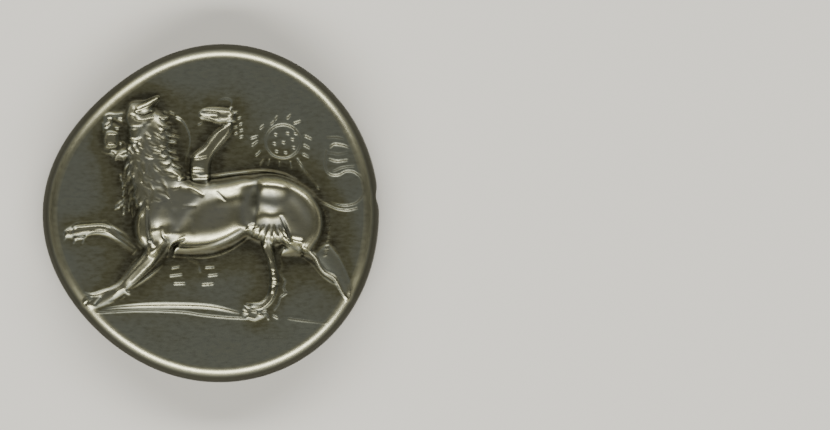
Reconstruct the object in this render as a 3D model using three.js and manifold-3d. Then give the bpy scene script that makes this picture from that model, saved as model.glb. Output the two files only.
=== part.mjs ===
// An ancient silver stater, lying with its front face up. Millimetres, +Z up, origin under the
// middle of the coin on the surface that it lies on.
// The front shows a chimera walking left, the back a dove inside an olive wreath.

import * as THREE from 'three';
import { mergeVertices } from 'three/addons/utils/BufferGeometryUtils.js';
import Module from 'manifold-3d';

// Flan: the struck blank
const coinDiameter = 23.9;
const coinThickness = 2.96;
const frontCrown = 0.12;
const frontShoulderWidth = 1.35;
const frontShoulderDrop = 0.95;
const backRoundWidth = 0.55;
const backRoundRise = 0.8;
const rimLandWidth = 0.3;
const rimSlopeWidth = 0.8;
const backDish = 0.5;
const backCrown = 0.08;
const edgeSplitAngle = 6;
const edgeSplitWidth = 2.4;
const edgeSplitDepthFront = 0.12;
const edgeSplitDepthBack = 0.42;
// How far the outline is out of round: waves around the edge, their height and their turn in degrees
const outlineWaves = [
  { count: 2, height: 0.066, turn: 57 },
  { count: 3, height: 0.236, turn: -57 },
  { count: 4, height: 0.08, turn: -3 },
  { count: 5, height: 0.036, turn: 29 },
];
const flanSectors = 48;

// Front design
const chimeraLength = 21.4;
const chimeraRelief = 1.05;
const smallWreathDiameter = 4.1;
const smallWreathRelief = 0.3;
const smallWreathLeaves = 14;
const smallWreathX = 5.2;
const smallWreathY = 5.0;
const groundLineRelief = 0.28;
const strokeRelief = 0.24;

// Back design
const dieTurn = 96;
const backShiftX = 0.24;
const backShiftY = 0.02;
const doveLength = 13.0;
const doveRelief = 0.42;
const wreathRadius = 8.45;
const wreathCentreX = 0.68;
const wreathCentreY = -0.68;
const stemWidth = 0.34;
const stemRelief = 0.2;
const leafLength = 3.5;
const leafWidth = 0.98;
const leafRelief = 0.27;
const leavesPerSide = 8;
const leafSplay = 14;
const leafOffset = 1.25;

// How deep each raised form is rooted in the flan, and how far the back's stay above its rim
const root = 0.22;
const reliefClearance = 0.06;

const wasm = await Module();
wasm.setup();

const degrees = Math.PI / 180;

// The flan

function outlineRadius(angle, splitDepth) {
  let radius = coinDiameter / 2;
  for (const wave of outlineWaves) {
    radius += wave.height * Math.cos(wave.count * (angle - wave.turn * degrees));
  }
  const offset = Math.atan2(
    Math.sin(angle - edgeSplitAngle * degrees),
    Math.cos(angle - edgeSplitAngle * degrees),
  );
  return radius - splitDepth * Math.exp(-((offset / (edgeSplitWidth * degrees)) ** 2));
}

// The outline's corners start at the split, so that one corner lies in it
function sectorAngle(sector, sectors) {
  return (sector * 360 / sectors + edgeSplitAngle) * degrees;
}

// The middle of the outline's box, so that the coin stands centred on the origin
const outlineBox = new THREE.Box2();
for (let sector = 0; sector < flanSectors; sector += 1) {
  const angle = sectorAngle(sector, flanSectors);
  const radius = outlineRadius(angle, edgeSplitDepthFront);
  outlineBox.expandByPoint(new THREE.Vector2(radius * Math.cos(angle), radius * Math.sin(angle)));
}
const flanCentre = outlineBox.getCenter(new THREE.Vector2()).negate();

function edgeDistance(x, y, splitDepth) {
  const angle = Math.atan2(y - flanCentre.y, x - flanCentre.x);
  return outlineRadius(angle, splitDepth) - Math.hypot(x - flanCentre.x, y - flanCentre.y);
}

// Height of the front's field: a low crown that rolls over a rounded shoulder
function frontField(distance) {
  const inward = Math.min(Math.max(distance, 0) / (coinDiameter / 2), 1);
  const crown = frontCrown * (1 - (1 - inward) ** 2);
  const shoulder = Math.min(Math.max(distance, 0) / frontShoulderWidth, 1);
  const drop = frontShoulderDrop * (1 - Math.sqrt(1 - (1 - shoulder) ** 2));
  return coinThickness - frontCrown + crown - drop;
}

// Height of the back's field: rounded edge, flat worn land, inner slope and a dished field
function backField(distance) {
  const inner = distance - backRoundWidth;
  if (inner < 0) {
    const part = Math.max(distance, 0) / backRoundWidth;
    return backRoundRise * (1 - Math.sqrt(1 - (1 - part) ** 2));
  }
  const slope = Math.min(Math.max((inner - rimLandWidth) / rimSlopeWidth, 0), 1);
  const inward = Math.min(inner / (coinDiameter / 2), 1);
  return backDish * slope * slope * (3 - 2 * slope) + backCrown * slope * inward;
}

// Faces between two rings, which may have different numbers of points
function stitch(faces, lower, lowerSize, upper, upperSize) {
  let low = 0;
  let high = 0;
  while (low < lowerSize || high < upperSize) {
    const lowerIsNext = (low + 1) / lowerSize <= (high + 1) / upperSize;
    if (high === upperSize || (low < lowerSize && lowerIsNext)) {
      faces.push([lower + low, lower + (low + 1) % lowerSize, upper + high % upperSize]);
      low += 1;
    } else {
      faces.push([lower + low % lowerSize, upper + (high + 1) % upperSize, upper + high]);
      high += 1;
    }
  }
}

// A solid from rings, each joined to the next, closed at both ends by a middle point
function solidFromRings(rings, firstPoint, lastPoint) {
  const points = [firstPoint];
  const faces = [];
  let lower = 0;
  let lowerSize = 1;
  for (const ring of rings) {
    const upper = points.length;
    points.push(...ring);
    if (lowerSize === 1) {
      ring.forEach((point, side) => faces.push([0, upper + (side + 1) % ring.length, upper + side]));
    } else {
      stitch(faces, lower, lowerSize, upper, ring.length);
    }
    lower = upper;
    lowerSize = ring.length;
  }
  const last = points.length;
  points.push(lastPoint);
  for (let side = 0; side < lowerSize; side += 1) {
    faces.push([lower + side, lower + (side + 1) % lowerSize, last]);
  }
  return solidFromFaces(points, faces);
}

function solidFromFaces(points, faces) {
  let volume = 0;
  const cross = new THREE.Vector3();
  for (const [a, b, c] of faces) {
    volume += cross.crossVectors(points[b], points[c]).dot(points[a]);
  }
  const index = [];
  for (const [a, b, c] of faces) {
    index.push(a, volume > 0 ? b : c, volume > 0 ? c : b);
  }
  let geometry = new THREE.BufferGeometry().setFromPoints(points);
  geometry.setIndex(index);
  geometry = mergeVertices(geometry, 1e-5);
  return new wasm.Manifold(
    new wasm.Mesh({
      numProp: 3,
      vertProperties: new Float32Array(geometry.attributes.position.array),
      triVerts: new Uint32Array(geometry.index.array),
    }),
  );
}

function flan() {
  const rings = [];
  const ringAt = (splitDepth, distanceAt, heightAt, sectors = flanSectors) => {
    const ring = [];
    for (let sector = 0; sector < sectors; sector += 1) {
      const angle = sectorAngle(sector, sectors);
      const outer = outlineRadius(angle, splitDepth);
      const distance = distanceAt(outer);
      ring.push(
        new THREE.Vector3(
          flanCentre.x + (outer - distance) * Math.cos(angle),
          flanCentre.y + (outer - distance) * Math.sin(angle),
          heightAt(distance),
        ),
      );
    }
    return ring;
  };
  const round = [0.12, 0.38, 0.68];
  rings.push(ringAt(0, (outer) => outer * 0.5, backField, flanSectors / 4));
  rings.push(ringAt(0, () => backRoundWidth + rimLandWidth + rimSlopeWidth, backField));
  rings.push(ringAt(0, () => backRoundWidth + rimLandWidth, backField));
  rings.push(ringAt(edgeSplitDepthBack / 2, () => backRoundWidth, () => 0));
  rings.push(ringAt(edgeSplitDepthBack, () => backRoundWidth * round[1], backField));
  rings.push(ringAt(edgeSplitDepthBack, () => 0, () => backRoundRise));
  rings.push(ringAt(edgeSplitDepthFront, () => 0, () => coinThickness - frontCrown - frontShoulderDrop));
  for (const share of round) {
    rings.push(ringAt(edgeSplitDepthFront, () => frontShoulderWidth * share * share * 1.6, frontField));
  }
  rings.push(ringAt(0, () => frontShoulderWidth, frontField));
  rings.push(ringAt(0, (outer) => outer * 0.5, frontField, flanSectors / 4));
  const middle = coinDiameter / 2;
  return solidFromRings(
    rings,
    new THREE.Vector3(flanCentre.x, flanCentre.y, backField(middle)),
    new THREE.Vector3(flanCentre.x, flanCentre.y, frontField(middle)),
  );
}

// The two dies. Each maps a point of its picture to the coin, and knows the field and which way is up.

const frontDie = {
  toCoin: (u, v) => [u, v],
  field: (x, y) => frontField(edgeDistance(x, y, 0)),
  up: 1,
};

const backDie = {
  toCoin: (u, v) => [
    u * Math.cos(dieTurn * degrees) + v * Math.sin(dieTurn * degrees) + backShiftX,
    u * Math.sin(dieTurn * degrees) - v * Math.cos(dieTurn * degrees) + backShiftY,
  ],
  field: (x, y) => backField(edgeDistance(x, y, 0)),
  up: -1,
};

// A point on a form that rises from the field. The back's forms stay clear of what the coin lies on.
function raisedPoint(die, x, y, rise) {
  return new THREE.Vector3(x, y, Math.max(die.field(x, y) + die.up * rise, reliefClearance));
}

// A raised form: half-round sections along a path. A station holds the place across and up, the half
// width there and the share of the relief. A half width of 0 ends the form in a point.
function limb(design, stations, sides = 5) {
  const { die, unit, relief } = design;
  const places = stations.map(([u, v]) => new THREE.Vector2(u, v).multiplyScalar(unit));
  const rings = [];
  const tips = [];
  stations.forEach(([, , halfWidth, share], row) => {
    const before = places[Math.max(row - 1, 0)];
    const after = places[Math.min(row + 1, places.length - 1)];
    const along = after.clone().sub(before).normalize();
    const ring = [];
    for (let side = 0; side < sides; side += 1) {
      const turn = -Math.PI / 2 + Math.PI * side / (sides - 1);
      const offset = Math.sin(turn) * halfWidth * unit;
      const rise = side === 0 || side === sides - 1 ? -root : share * relief * Math.cos(turn) ** 0.8;
      const [x, y] = die.toCoin(places[row].x - along.y * offset, places[row].y + along.x * offset);
      ring.push(raisedPoint(die, x, y, rise));
    }
    const [x, y] = die.toCoin(places[row].x, places[row].y);
    const middle = raisedPoint(die, x, y, -root / 2);
    if (halfWidth === 0) {
      tips[row === 0 ? 0 : 1] = middle;
    } else {
      rings.push(ring);
      if (row === 0) {
        tips[0] = middle;
      }
      if (row === stations.length - 1) {
        tips[1] = middle;
      }
    }
  });
  return solidFromRings(rings, tips[0], tips[1]);
}

// The same stations with more of them between, on a smooth curve
function smoothed(stations, perStretch) {
  const lastHalfWidth = stations[stations.length - 1][2];
  const places = new THREE.CatmullRomCurve3(stations.map(([u, v]) => new THREE.Vector3(u, v, 0)));
  const sizes = new THREE.CatmullRomCurve3(
    stations.map(([, , halfWidth, share]) => new THREE.Vector3(halfWidth, share, 0)),
  );
  const steps = (stations.length - 1) * perStretch;
  const finer = [];
  for (let step = 0; step <= steps; step += 1) {
    const place = places.getPoint(step / steps);
    const size = sizes.getPoint(step / steps);
    const isPoint = step === steps && lastHalfWidth === 0;
    finer.push([place.x, place.y, isPoint ? 0 : Math.max(size.x, 0.2), size.y]);
  }
  return finer;
}

// A low round boss
function boss(design, u, v, halfWidth, share, sides = 6) {
  const { die, unit, relief } = design;
  const ringAt = (radius, rise) => {
    const ring = [];
    for (let side = 0; side < sides; side += 1) {
      const angle = 2 * Math.PI * side / sides;
      const [x, y] = die.toCoin(
        (u + halfWidth * radius * Math.cos(angle)) * unit,
        (v + halfWidth * radius * Math.sin(angle)) * unit,
      );
      ring.push(raisedPoint(die, x, y, rise));
    }
    return ring;
  };
  const [x, y] = die.toCoin(u * unit, v * unit);
  return solidFromRings(
    [ringAt(1, -root), ringAt(0.7, share * relief * 0.75)],
    raisedPoint(die, x, y, -root),
    raisedPoint(die, x, y, share * relief),
  );
}

// A lens-shaped leaf with a ridge, from its foot to its tip
function leaf(design, foot, tip, halfWidth, share) {
  const at = (part) => [
    foot[0] + (tip[0] - foot[0]) * part,
    foot[1] + (tip[1] - foot[1]) * part,
  ];
  return limb(
    design,
    [
      [...foot, 0, 0],
      [...at(0.3), halfWidth * 0.9, share],
      [...at(0.65), halfWidth, share],
      [...tip, 0, 0],
    ],
    3,
  );
}

// Front: the chimera. Places are in hundredths of its length from the middle of the coin.

const chimera = { die: frontDie, unit: chimeraLength / 100, relief: chimeraRelief };

function chimeraBody() {
  return [
    // Barrel from the chest to the rump
    limb(chimera, [
      [-25.6, -4.0, 5.5, 0.35],
      [-23.4, -3.4, 8.8, 0.72],
      [-19.5, -2.6, 10.4, 0.92],
      [-13.3, -1.5, 11.5, 0.95],
      [-6.0, -0.5, 11.9, 0.9],
      [2.0, 0.4, 11.4, 0.86],
      [9.0, 2.0, 10.6, 0.78],
      [14.5, 3.8, 9.5, 0.68],
      [20.5, 4.0, 9.6, 0.76],
      [27.0, 2.4, 9.6, 0.78],
      [33.0, 0.8, 7.8, 0.66],
      [37.4, -0.4, 4.0, 0.4],
    ], 7),
    // Shoulder
    limb(chimera, [
      [-16.5, 9.5, 3.2, 0.8],
      [-15.5, 3.5, 6.3, 1.0],
      [-17.0, -4.5, 6.6, 1.06],
      [-18.4, -11.0, 5.0, 0.95],
      [-20.5, -15.5, 3.4, 0.7],
    ], 6),
    // Haunch
    limb(chimera, [
      [23.5, 8.5, 3.5, 0.7],
      [25.5, 3.5, 7.0, 0.92],
      [28.5, -2.5, 7.6, 0.98],
      [31.0, -8.5, 5.6, 0.86],
      [32.8, -12.5, 3.8, 0.66],
    ], 6),
    // Flank in front of the haunch
    limb(chimera, [
      [17.0, 5.5, 2.6, 0.7],
      [19.5, 0.5, 4.6, 0.84],
      [20.6, -5.5, 4.2, 0.82],
      [20.8, -10.5, 2.8, 0.66],
    ], 5),
  ];
}

function chimeraLegs() {
  const legs = [
    // Standing foreleg
    limb(chimera, [
      [-18.5, -11.5, 4.0, 0.85],
      [-20.8, -15.5, 3.2, 0.76],
      [-24.2, -19.8, 2.6, 0.66],
      [-27.6, -23.2, 2.1, 0.6],
      [-30.2, -25.4, 1.9, 0.56],
    ]),
    limb(chimera, [
      [-28.6, -25.0, 1.5, 0.5],
      [-32.0, -26.6, 2.0, 0.56],
      [-36.2, -28.4, 2.3, 0.56],
      [-40.4, -30.0, 1.9, 0.46],
      [-43.4, -31.2, 1.0, 0.3],
    ]),
    // Raised foreleg
    limb(chimera, [
      [-22.0, -11.5, 3.6, 0.7],
      [-26.0, -11.6, 3.0, 0.66],
      [-29.4, -9.4, 2.5, 0.6],
      [-33.0, -6.8, 2.0, 0.56],
      [-37.0, -5.4, 1.5, 0.5],
      [-41.6, -5.4, 1.6, 0.5],
      [-45.6, -5.9, 2.1, 0.54],
      [-48.6, -6.8, 1.5, 0.42],
    ]),
    // Near hind leg
    limb(chimera, [
      [20.6, -8.5, 3.4, 0.7],
      [20.7, -12.5, 2.7, 0.62],
      [21.3, -16.5, 2.0, 0.58],
      [22.2, -20.5, 1.8, 0.56],
      [22.9, -24.0, 2.1, 0.6],
      [22.4, -27.5, 1.9, 0.58],
      [20.6, -31.2, 2.1, 0.56],
    ]),
    limb(chimera, [
      [21.6, -31.0, 1.5, 0.5],
      [18.0, -32.6, 2.2, 0.58],
      [14.0, -34.2, 2.6, 0.56],
      [10.6, -35.6, 1.8, 0.4],
    ]),
    // Far hind leg, stretched back
    limb(chimera, [
      [31.4, -9.0, 4.6, 0.72],
      [34.0, -13.2, 3.6, 0.64],
      [37.6, -17.2, 2.6, 0.56],
      [41.6, -21.0, 2.1, 0.52],
      [44.6, -25.0, 1.8, 0.5],
      [46.4, -28.6, 1.5, 0.44],
    ]),
  ];
  // Claws of the raised paw, of the standing foreleg and of the near hind leg
  const claws = [
    [-47.6, -7.8, -49.0, -10.4, 0.9],
    [-45.6, -7.4, -46.6, -10.6, 0.9],
    [-43.4, -7.0, -43.6, -10.4, 0.9],
    [-40.8, -30.6, -43.6, -32.8, 0.9],
    [-38.0, -30.2, -40.4, -32.6, 0.9],
    [11.8, -35.4, 9.8, -37.4, 0.9],
    [14.6, -35.2, 13.2, -37.6, 1.0],
    [17.4, -34.2, 16.4, -37.0, 1.0],
  ];
  for (const [u, v, tipU, tipV, halfWidth] of claws) {
    legs.push(limb(chimera, [[u, v, halfWidth, 0.5], [tipU, tipV, halfWidth * 0.6, 0.34]], 4));
  }
  return legs;
}

function lionHead() {
  const forms = [
    // Skull, cheek, muzzle and jaw
    limb(chimera, [
      [-19.5, 31.0, 3.0, 0.8],
      [-23.0, 30.0, 5.0, 1.1],
      [-26.8, 28.4, 5.6, 1.15],
      [-30.0, 26.2, 4.4, 1.1],
    ], 6),
    limb(chimera, [
      [-23.0, 24.6, 3.0, 0.95],
      [-26.6, 24.6, 4.0, 1.08],
      [-31.0, 25.2, 3.0, 1.08],
      [-34.4, 25.0, 1.9, 0.95],
    ], 5),
    limb(chimera, [
      [-25.0, 21.5, 2.2, 0.85],
      [-28.6, 19.8, 2.2, 0.88],
      [-31.4, 19.4, 1.5, 0.75],
    ], 5),
    // Ear
    limb(chimera, [
      [-23.4, 34.0, 2.4, 0.95],
      [-20.6, 35.6, 1.9, 0.95],
      [-17.6, 38.0, 0, 0],
    ], 4),
    // Neck under the mane
    limb(chimera, [
      [-14.0, 33.0, 2.4, 0.4],
      [-16.0, 29.0, 6.6, 0.62],
      [-18.0, 21.0, 9.8, 0.78],
      [-20.6, 11.0, 10.6, 0.82],
      [-21.6, 3.0, 7.6, 0.78],
    ], 6),
  ];
  return forms;
}

// Locks of the mane: rows that hang from the head down to the shoulder
function mane() {
  const locks = [];
  const rows = [
    { count: 6, fromU: -10.6, fromV: 32.5, toU: -9.4, toV: 15.0, lean: -1.5, length: 4.4, share: 0.8 },
    { count: 6, fromU: -14.6, fromV: 32.0, toU: -13.6, toV: 13.0, lean: -1.35, length: 4.8, share: 1.0 },
    { count: 6, fromU: -18.6, fromV: 29.0, toU: -18.0, toV: 8.0, lean: -1.45, length: 5.2, share: 1.12 },
    { count: 6, fromU: -22.8, fromV: 21.0, toU: -22.2, toV: 4.5, lean: -1.6, length: 5.0, share: 1.14 },
    { count: 6, fromU: -27.2, fromV: 18.5, toU: -26.2, toV: 3.4, lean: -1.75, length: 4.8, share: 1.04 },
    { count: 4, fromU: -31.4, fromV: 17.5, toU: -30.0, toV: 6.0, lean: -1.7, length: 4.2, share: 0.8 },
  ];
  for (const row of rows) {
    for (let step = 0; step < row.count; step += 1) {
      const part = step / (row.count - 1);
      const u = row.fromU + (row.toU - row.fromU) * part;
      const v = row.fromV + (row.toV - row.fromV) * part;
      const lean = row.lean + 0.25 * Math.sin(step * 2.4);
      const across = row.length * Math.cos(lean);
      const down = row.length * Math.sin(lean);
      locks.push(
        limb(chimera, [
          [u, v, 0, 0],
          [u + across * 0.35, v + down * 0.35, 1.5, row.share],
          [u + across * 0.75, v + down * 0.75 - 0.2, 1.3, row.share],
          [u + across + 0.8, v + down, 0, 0],
        ], 3),
      );
    }
  }
  return locks;
}

function goat() {
  return [
    // Neck rising from the back
    limb(chimera, [
      [-4.4, 11.0, 3.4, 0.8],
      [-3.6, 16.5, 2.9, 0.82],
      [-1.6, 21.5, 2.2, 0.8],
      [1.6, 25.0, 2.0, 0.8],
      [4.6, 28.4, 2.2, 0.8],
      [6.2, 31.4, 1.8, 0.7],
    ]),
    // Head
    limb(chimera, [
      [6.6, 31.6, 1.6, 0.72],
      [4.2, 32.6, 2.6, 0.86],
      [0.6, 33.0, 2.0, 0.82],
      [-2.6, 32.6, 1.4, 0.72],
      [-4.0, 32.0, 0.9, 0.5],
    ]),
    // Lower jaw and beard
    limb(chimera, [
      [3.0, 30.4, 0.9, 0.6],
      [-0.6, 30.6, 0.9, 0.58],
      [-3.2, 29.8, 0.7, 0.45],
    ], 3),
    // Horn
    limb(chimera, [
      [5.0, 34.6, 0.9, 0.62],
      [8.4, 33.8, 1.0, 0.6],
      [10.0, 30.4, 0.9, 0.55],
      [10.4, 26.8, 0.7, 0.45],
      [10.4, 24.4, 0, 0],
    ], 3),
    // Ear and lock behind the cheek
    limb(chimera, [
      [6.6, 30.6, 0.9, 0.62],
      [7.8, 27.4, 0.9, 0.55],
      [8.4, 24.4, 0, 0],
    ], 3),
    // Collar folds
    limb(chimera, [[-6.4, 18.0, 0.8, 0.8], [-3.4, 18.6, 0.9, 0.98], [-0.4, 18.4, 0.8, 0.8]], 3),
    limb(chimera, [[-7.0, 13.9, 0.8, 0.8], [-3.8, 14.4, 0.9, 0.98], [-0.6, 14.0, 0.8, 0.8]], 3),
  ];
}

// The outer border of the mane, which curves down to the shoulders behind the head
function maneBorder() {
  return limb(chimera, smoothed([
    [-15.0, 33.8, 0.7, 0.5],
    [-10.4, 31.2, 0.7, 0.55],
    [-7.4, 25.4, 0.7, 0.55],
    [-7.8, 19.4, 0.7, 0.6],
    [-9.8, 14.0, 0.7, 0.8],
  ], 2), 3);
}

// The tail swings up from the rump and ends in a snake's head
function tail() {
  return [
    limb(chimera, smoothed([
      [35.6, 5.4, 2.0, 0.5],
      [40.2, 2.4, 1.6, 0.42],
      [44.8, 1.0, 1.4, 0.38],
      [48.6, 2.4, 1.3, 0.36],
      [50.8, 6.4, 1.2, 0.34],
      [50.2, 11.2, 1.2, 0.34],
      [46.6, 13.8, 1.2, 0.34],
      [42.4, 13.2, 1.2, 0.34],
      [39.2, 15.2, 1.2, 0.34],
      [38.8, 19.4, 1.3, 0.36],
      [41.6, 23.2, 1.5, 0.38],
      [45.4, 22.4, 1.2, 0.34],
      [46.6, 19.4, 0, 0],
    ], 2), 4),
  ];
}

// The small wreath over the back: leaves set around a ring
function smallWreath() {
  const radius = smallWreathDiameter / 2;
  const design = { die: frontDie, unit: 1, relief: smallWreathRelief };
  const forms = [];
  for (let step = 0; step < smallWreathLeaves; step += 1) {
    const angle = 2 * Math.PI * step / smallWreathLeaves;
    const aside = 2 * Math.PI / smallWreathLeaves;
    const at = (share, turn) => [
      smallWreathX + radius * share * Math.cos(turn),
      smallWreathY + radius * share * Math.sin(turn),
    ];
    forms.push(leaf(design, at(0.52, angle), at(1, angle + aside * 0.9), radius * 0.11, 1));
    if (step % 2 === 0) {
      forms.push(boss(design, ...at(0.4, angle), radius * 0.1, 0.9, 4));
    }
  }
  return forms;
}

function ground() {
  const design = { die: frontDie, unit: chimera.unit, relief: groundLineRelief };
  return [
    limb(design, [
      [-37.6, -33.4, 0.7, 1],
      [-24.0, -32.6, 0.8, 1],
      [-10.0, -33.2, 0.8, 1],
      [5.0, -34.6, 0.8, 1],
      [22.0, -35.4, 0.7, 1],
      [38.6, -36.6, 0.5, 0.8],
    ], 4),
    limb(design, [
      [-35.0, -30.6, 1.0, 1.1],
      [-20.0, -30.4, 1.1, 1.2],
      [-4.0, -31.0, 1.0, 1.1],
      [9.0, -33.0, 0.8, 1],
    ], 4),
  ];
}

// Two short rows of shallow strokes between the legs
function groundStrokes() {
  const design = { die: frontDie, unit: chimera.unit, relief: strokeRelief };
  const strokes = [];
  const groups = [[-12.4, -17.6], [-2.2, -18.2]];
  for (const [u, v] of groups) {
    for (let step = 0; step < 4; step += 1) {
      const across = u + (step % 2) * 2.4;
      const down = v - step * 2.1;
      strokes.push(limb(design, [[across, down, 0.7, 1], [across + 2.2, down - 0.7, 0.7, 1]], 4));
    }
  }
  return strokes;
}

// Back: the dove. Places are in hundredths of its length from the middle of the picture.

const dove = { die: backDie, unit: doveLength / 100, relief: doveRelief };

function doveBody() {
  return [
    // Breast and body
    limb(dove, [
      [-39.0, 6.0, 3.2, 0.8],
      [-35.5, -0.5, 4.6, 0.95],
      [-31.0, -8.5, 6.4, 1.05],
      [-23.0, -16.0, 8.0, 1.08],
      [-12.0, -17.6, 8.0, 1.05],
      [0.0, -17.0, 6.6, 0.95],
      [10.0, -16.6, 4.8, 0.85],
      [20.0, -16.4, 3.8, 0.75],
    ], 6),
    // Head and beak
    boss(dove, -41.0, 10.0, 4.2, 0.95, 8),
    limb(dove, [[-43.0, 11.0, 1.6, 0.8], [-46.6, 11.0, 0, 0]], 3),
    // Legs tucked under the body
    limb(dove, [[0.0, -24.0, 2.6, 0.6], [8.0, -26.6, 2.2, 0.5], [14.0, -26.0, 1.2, 0.4]], 4),
  ];
}

// Feathers that fan out between two end points, from a common row of feet
function feathers(count, foot, footEnd, tip, tipEnd, halfWidth, share) {
  const forms = [];
  for (let step = 0; step < count; step += 1) {
    const part = count === 1 ? 0 : step / (count - 1);
    const u = foot[0] + (footEnd[0] - foot[0]) * part;
    const v = foot[1] + (footEnd[1] - foot[1]) * part;
    const endU = tip[0] + (tipEnd[0] - tip[0]) * part;
    const endV = tip[1] + (tipEnd[1] - tip[1]) * part;
    forms.push(
      limb(dove, [
        [u, v, halfWidth * 0.8, share],
        [(u + endU) / 2, (v + endV) / 2, halfWidth, share],
        [endU, endV, halfWidth * 0.6, share * 0.7],
      ], 4),
    );
  }
  return forms;
}

function doveTail() {
  return feathers(6, [18.0, -14.0], [18.0, -19.0], [51.0, -4.0], [51.0, -29.0], 2.6, 0.7);
}

function doveWings() {
  const forms = [
    // Leading bone of the upper wing, then of the lower wing
    limb(dove, [
      [-22.0, -3.0, 2.2, 0.8],
      [-26.0, 8.0, 2.2, 0.75],
      [-30.0, 19.0, 2.2, 0.7],
      [-22.0, 26.0, 2.4, 0.7],
      [-8.0, 29.0, 2.4, 0.65],
      [14.0, 27.0, 2.0, 0.6],
      [36.0, 21.0, 1.8, 0.5],
      [53.0, 17.0, 0, 0],
    ], 4),
    limb(dove, [
      [-37.0, -30.0, 1.6, 0.6],
      [-29.0, -39.0, 2.2, 0.65],
      [-12.0, -43.6, 2.2, 0.65],
      [14.0, -44.0, 2.0, 0.6],
      [36.0, -43.0, 1.6, 0.5],
      [48.0, -42.6, 0, 0],
    ], 4),
  ];
  // Long feathers of both wings
  forms.push(...feathers(6, [4.0, 22.0], [2.0, 0.0], [53.0, 14.0], [28.0, 1.0], 2.0, 0.6));
  forms.push(...feathers(3, [8.0, -32.0], [10.0, -41.0], [46.0, -33.0], [48.0, -40.0], 2.0, 0.55));
  // Short feathers, in rows of small bosses
  for (let row = 0; row < 3; row += 1) {
    for (let step = 0; step < 5; step += 1) {
      const u = -22.0 + step * 5.6 + row * 1.4;
      const v = 21.5 - row * 6.4 + step * 0.7;
      forms.push(boss(dove, u, v, 2.9, 0.6, 4));
    }
  }
  for (let row = 0; row < 2; row += 1) {
    for (let step = 0; step < 7; step += 1) {
      forms.push(boss(dove, -31.0 + step * 6.0, -32.5 - row * 5.6, 2.8, 0.55, 4));
    }
  }
  return forms;
}

// The olive wreath: two stems that meet at the left, each with a row of leaves on both sides

function wreath() {
  const design = { die: backDie, unit: 1, relief: 1 };
  const forms = [];
  const at = (radius, angle) => [
    wreathCentreX + radius * Math.cos(angle),
    wreathCentreY + radius * Math.sin(angle),
  ];
  const stemSteps = 14;
  const stemStart = 6;
  const stemEnd = 176;
  for (const hand of [1, -1]) {
    const stem = [];
    for (let step = 0; step <= stemSteps; step += 1) {
      const angle = (stemStart + (stemEnd - stemStart) * step / stemSteps) * degrees * hand;
      stem.push([...at(wreathRadius, angle), stemWidth / 2, stemRelief]);
    }
    forms.push(limb(design, stem, 4));
    for (const side of [1, -1]) {
      for (let step = 0; step < leavesPerSide; step += 1) {
        const share = (step + (side > 0 ? 0.55 : 0.2)) / leavesPerSide;
        const middle = (stemStart + (stemEnd - stemStart) * share) * degrees * hand;
        const radius = wreathRadius + side * leafOffset;
        const reach = leafLength / 2 / radius * hand;
        const splay = Math.sin(leafSplay * degrees) * leafLength / 2 * side;
        forms.push(
          leaf(
            design,
            at(radius - splay, middle - reach),
            at(radius + splay, middle + reach),
            leafWidth / 2,
            leafRelief,
          ),
        );
      }
    }
  }
  // The tie: two ribbon ends that cross at the right
  forms.push(
    limb(design, [[...at(wreathRadius + 0.2, 0.22), 0.2, 0.22], [...at(wreathRadius + 0.5, 0), 0.2, 0.26],
      [...at(wreathRadius - 0.2, -0.2), 0.2, 0.26], [...at(wreathRadius + 0.4, -0.42), 0, 0]], 4),
    limb(design, [[...at(wreathRadius - 0.5, 0.2), 0.2, 0.22], [...at(wreathRadius - 0.5, 0), 0.2, 0.26],
      [...at(wreathRadius + 0.3, -0.2), 0.2, 0.26], [...at(wreathRadius - 0.6, -0.42), 0, 0]], 4),
  );
  return forms;
}

// A short row of shallow strokes in front of the dove's breast
function breastStrokes() {
  const strokes = [];
  for (let step = 0; step < 3; step += 1) {
    const u = -50.0 + step * 4.4;
    strokes.push(limb(dove, [[u, -4.0, 1.2, 0.5], [u + 1.4, -12.0, 1.2, 0.5]], 4));
  }
  return strokes;
}

// The whole coin in one solid, with every form cut off at the flan's edge

const edgeRing = (height) => {
  const ring = [];
  for (let sector = 0; sector < flanSectors; sector += 1) {
    const angle = sectorAngle(sector, flanSectors);
    const radius = outlineRadius(angle, edgeSplitDepthBack) - 0.02;
    ring.push(
      new THREE.Vector3(
        flanCentre.x + radius * Math.cos(angle),
        flanCentre.y + radius * Math.sin(angle),
        height,
      ),
    );
  }
  return ring;
};
const reach = coinThickness * 3;
const envelope = solidFromRings(
  [edgeRing(-reach), edgeRing(reach)],
  new THREE.Vector3(flanCentre.x, flanCentre.y, -reach),
  new THREE.Vector3(flanCentre.x, flanCentre.y, reach),
);

const raised = [
  ...chimeraBody(),
  ...chimeraLegs(),
  ...lionHead(),
  ...mane(),
  maneBorder(),
  ...goat(),
  ...tail(),
  ...smallWreath(),
  ...ground(),
  ...groundStrokes(),
  ...doveBody(),
  ...doveTail(),
  ...doveWings(),
  ...wreath(),
  ...breastStrokes(),
];
let relief = raised[0];
for (const form of raised.slice(1)) {
  relief = relief.add(form);
}
const coinSolid = flan().add(relief.intersect(envelope));

function geometryOf(solid) {
  const mesh = solid.getMesh();
  const geometry = new THREE.BufferGeometry();
  geometry.setAttribute('position', new THREE.BufferAttribute(new Float32Array(mesh.vertProperties), 3));
  geometry.setIndex(new THREE.BufferAttribute(new Uint32Array(mesh.triVerts), 1));
  return geometry;
}

const silver = new THREE.MeshStandardMaterial({ color: 0x8f8c82, roughness: 0.35, metalness: 1 });

const coin = new THREE.Mesh(geometryOf(coinSolid), silver);
coin.name = 'coin';

const stater = new THREE.Group();
stater.add(coin);

export default stater;
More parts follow.
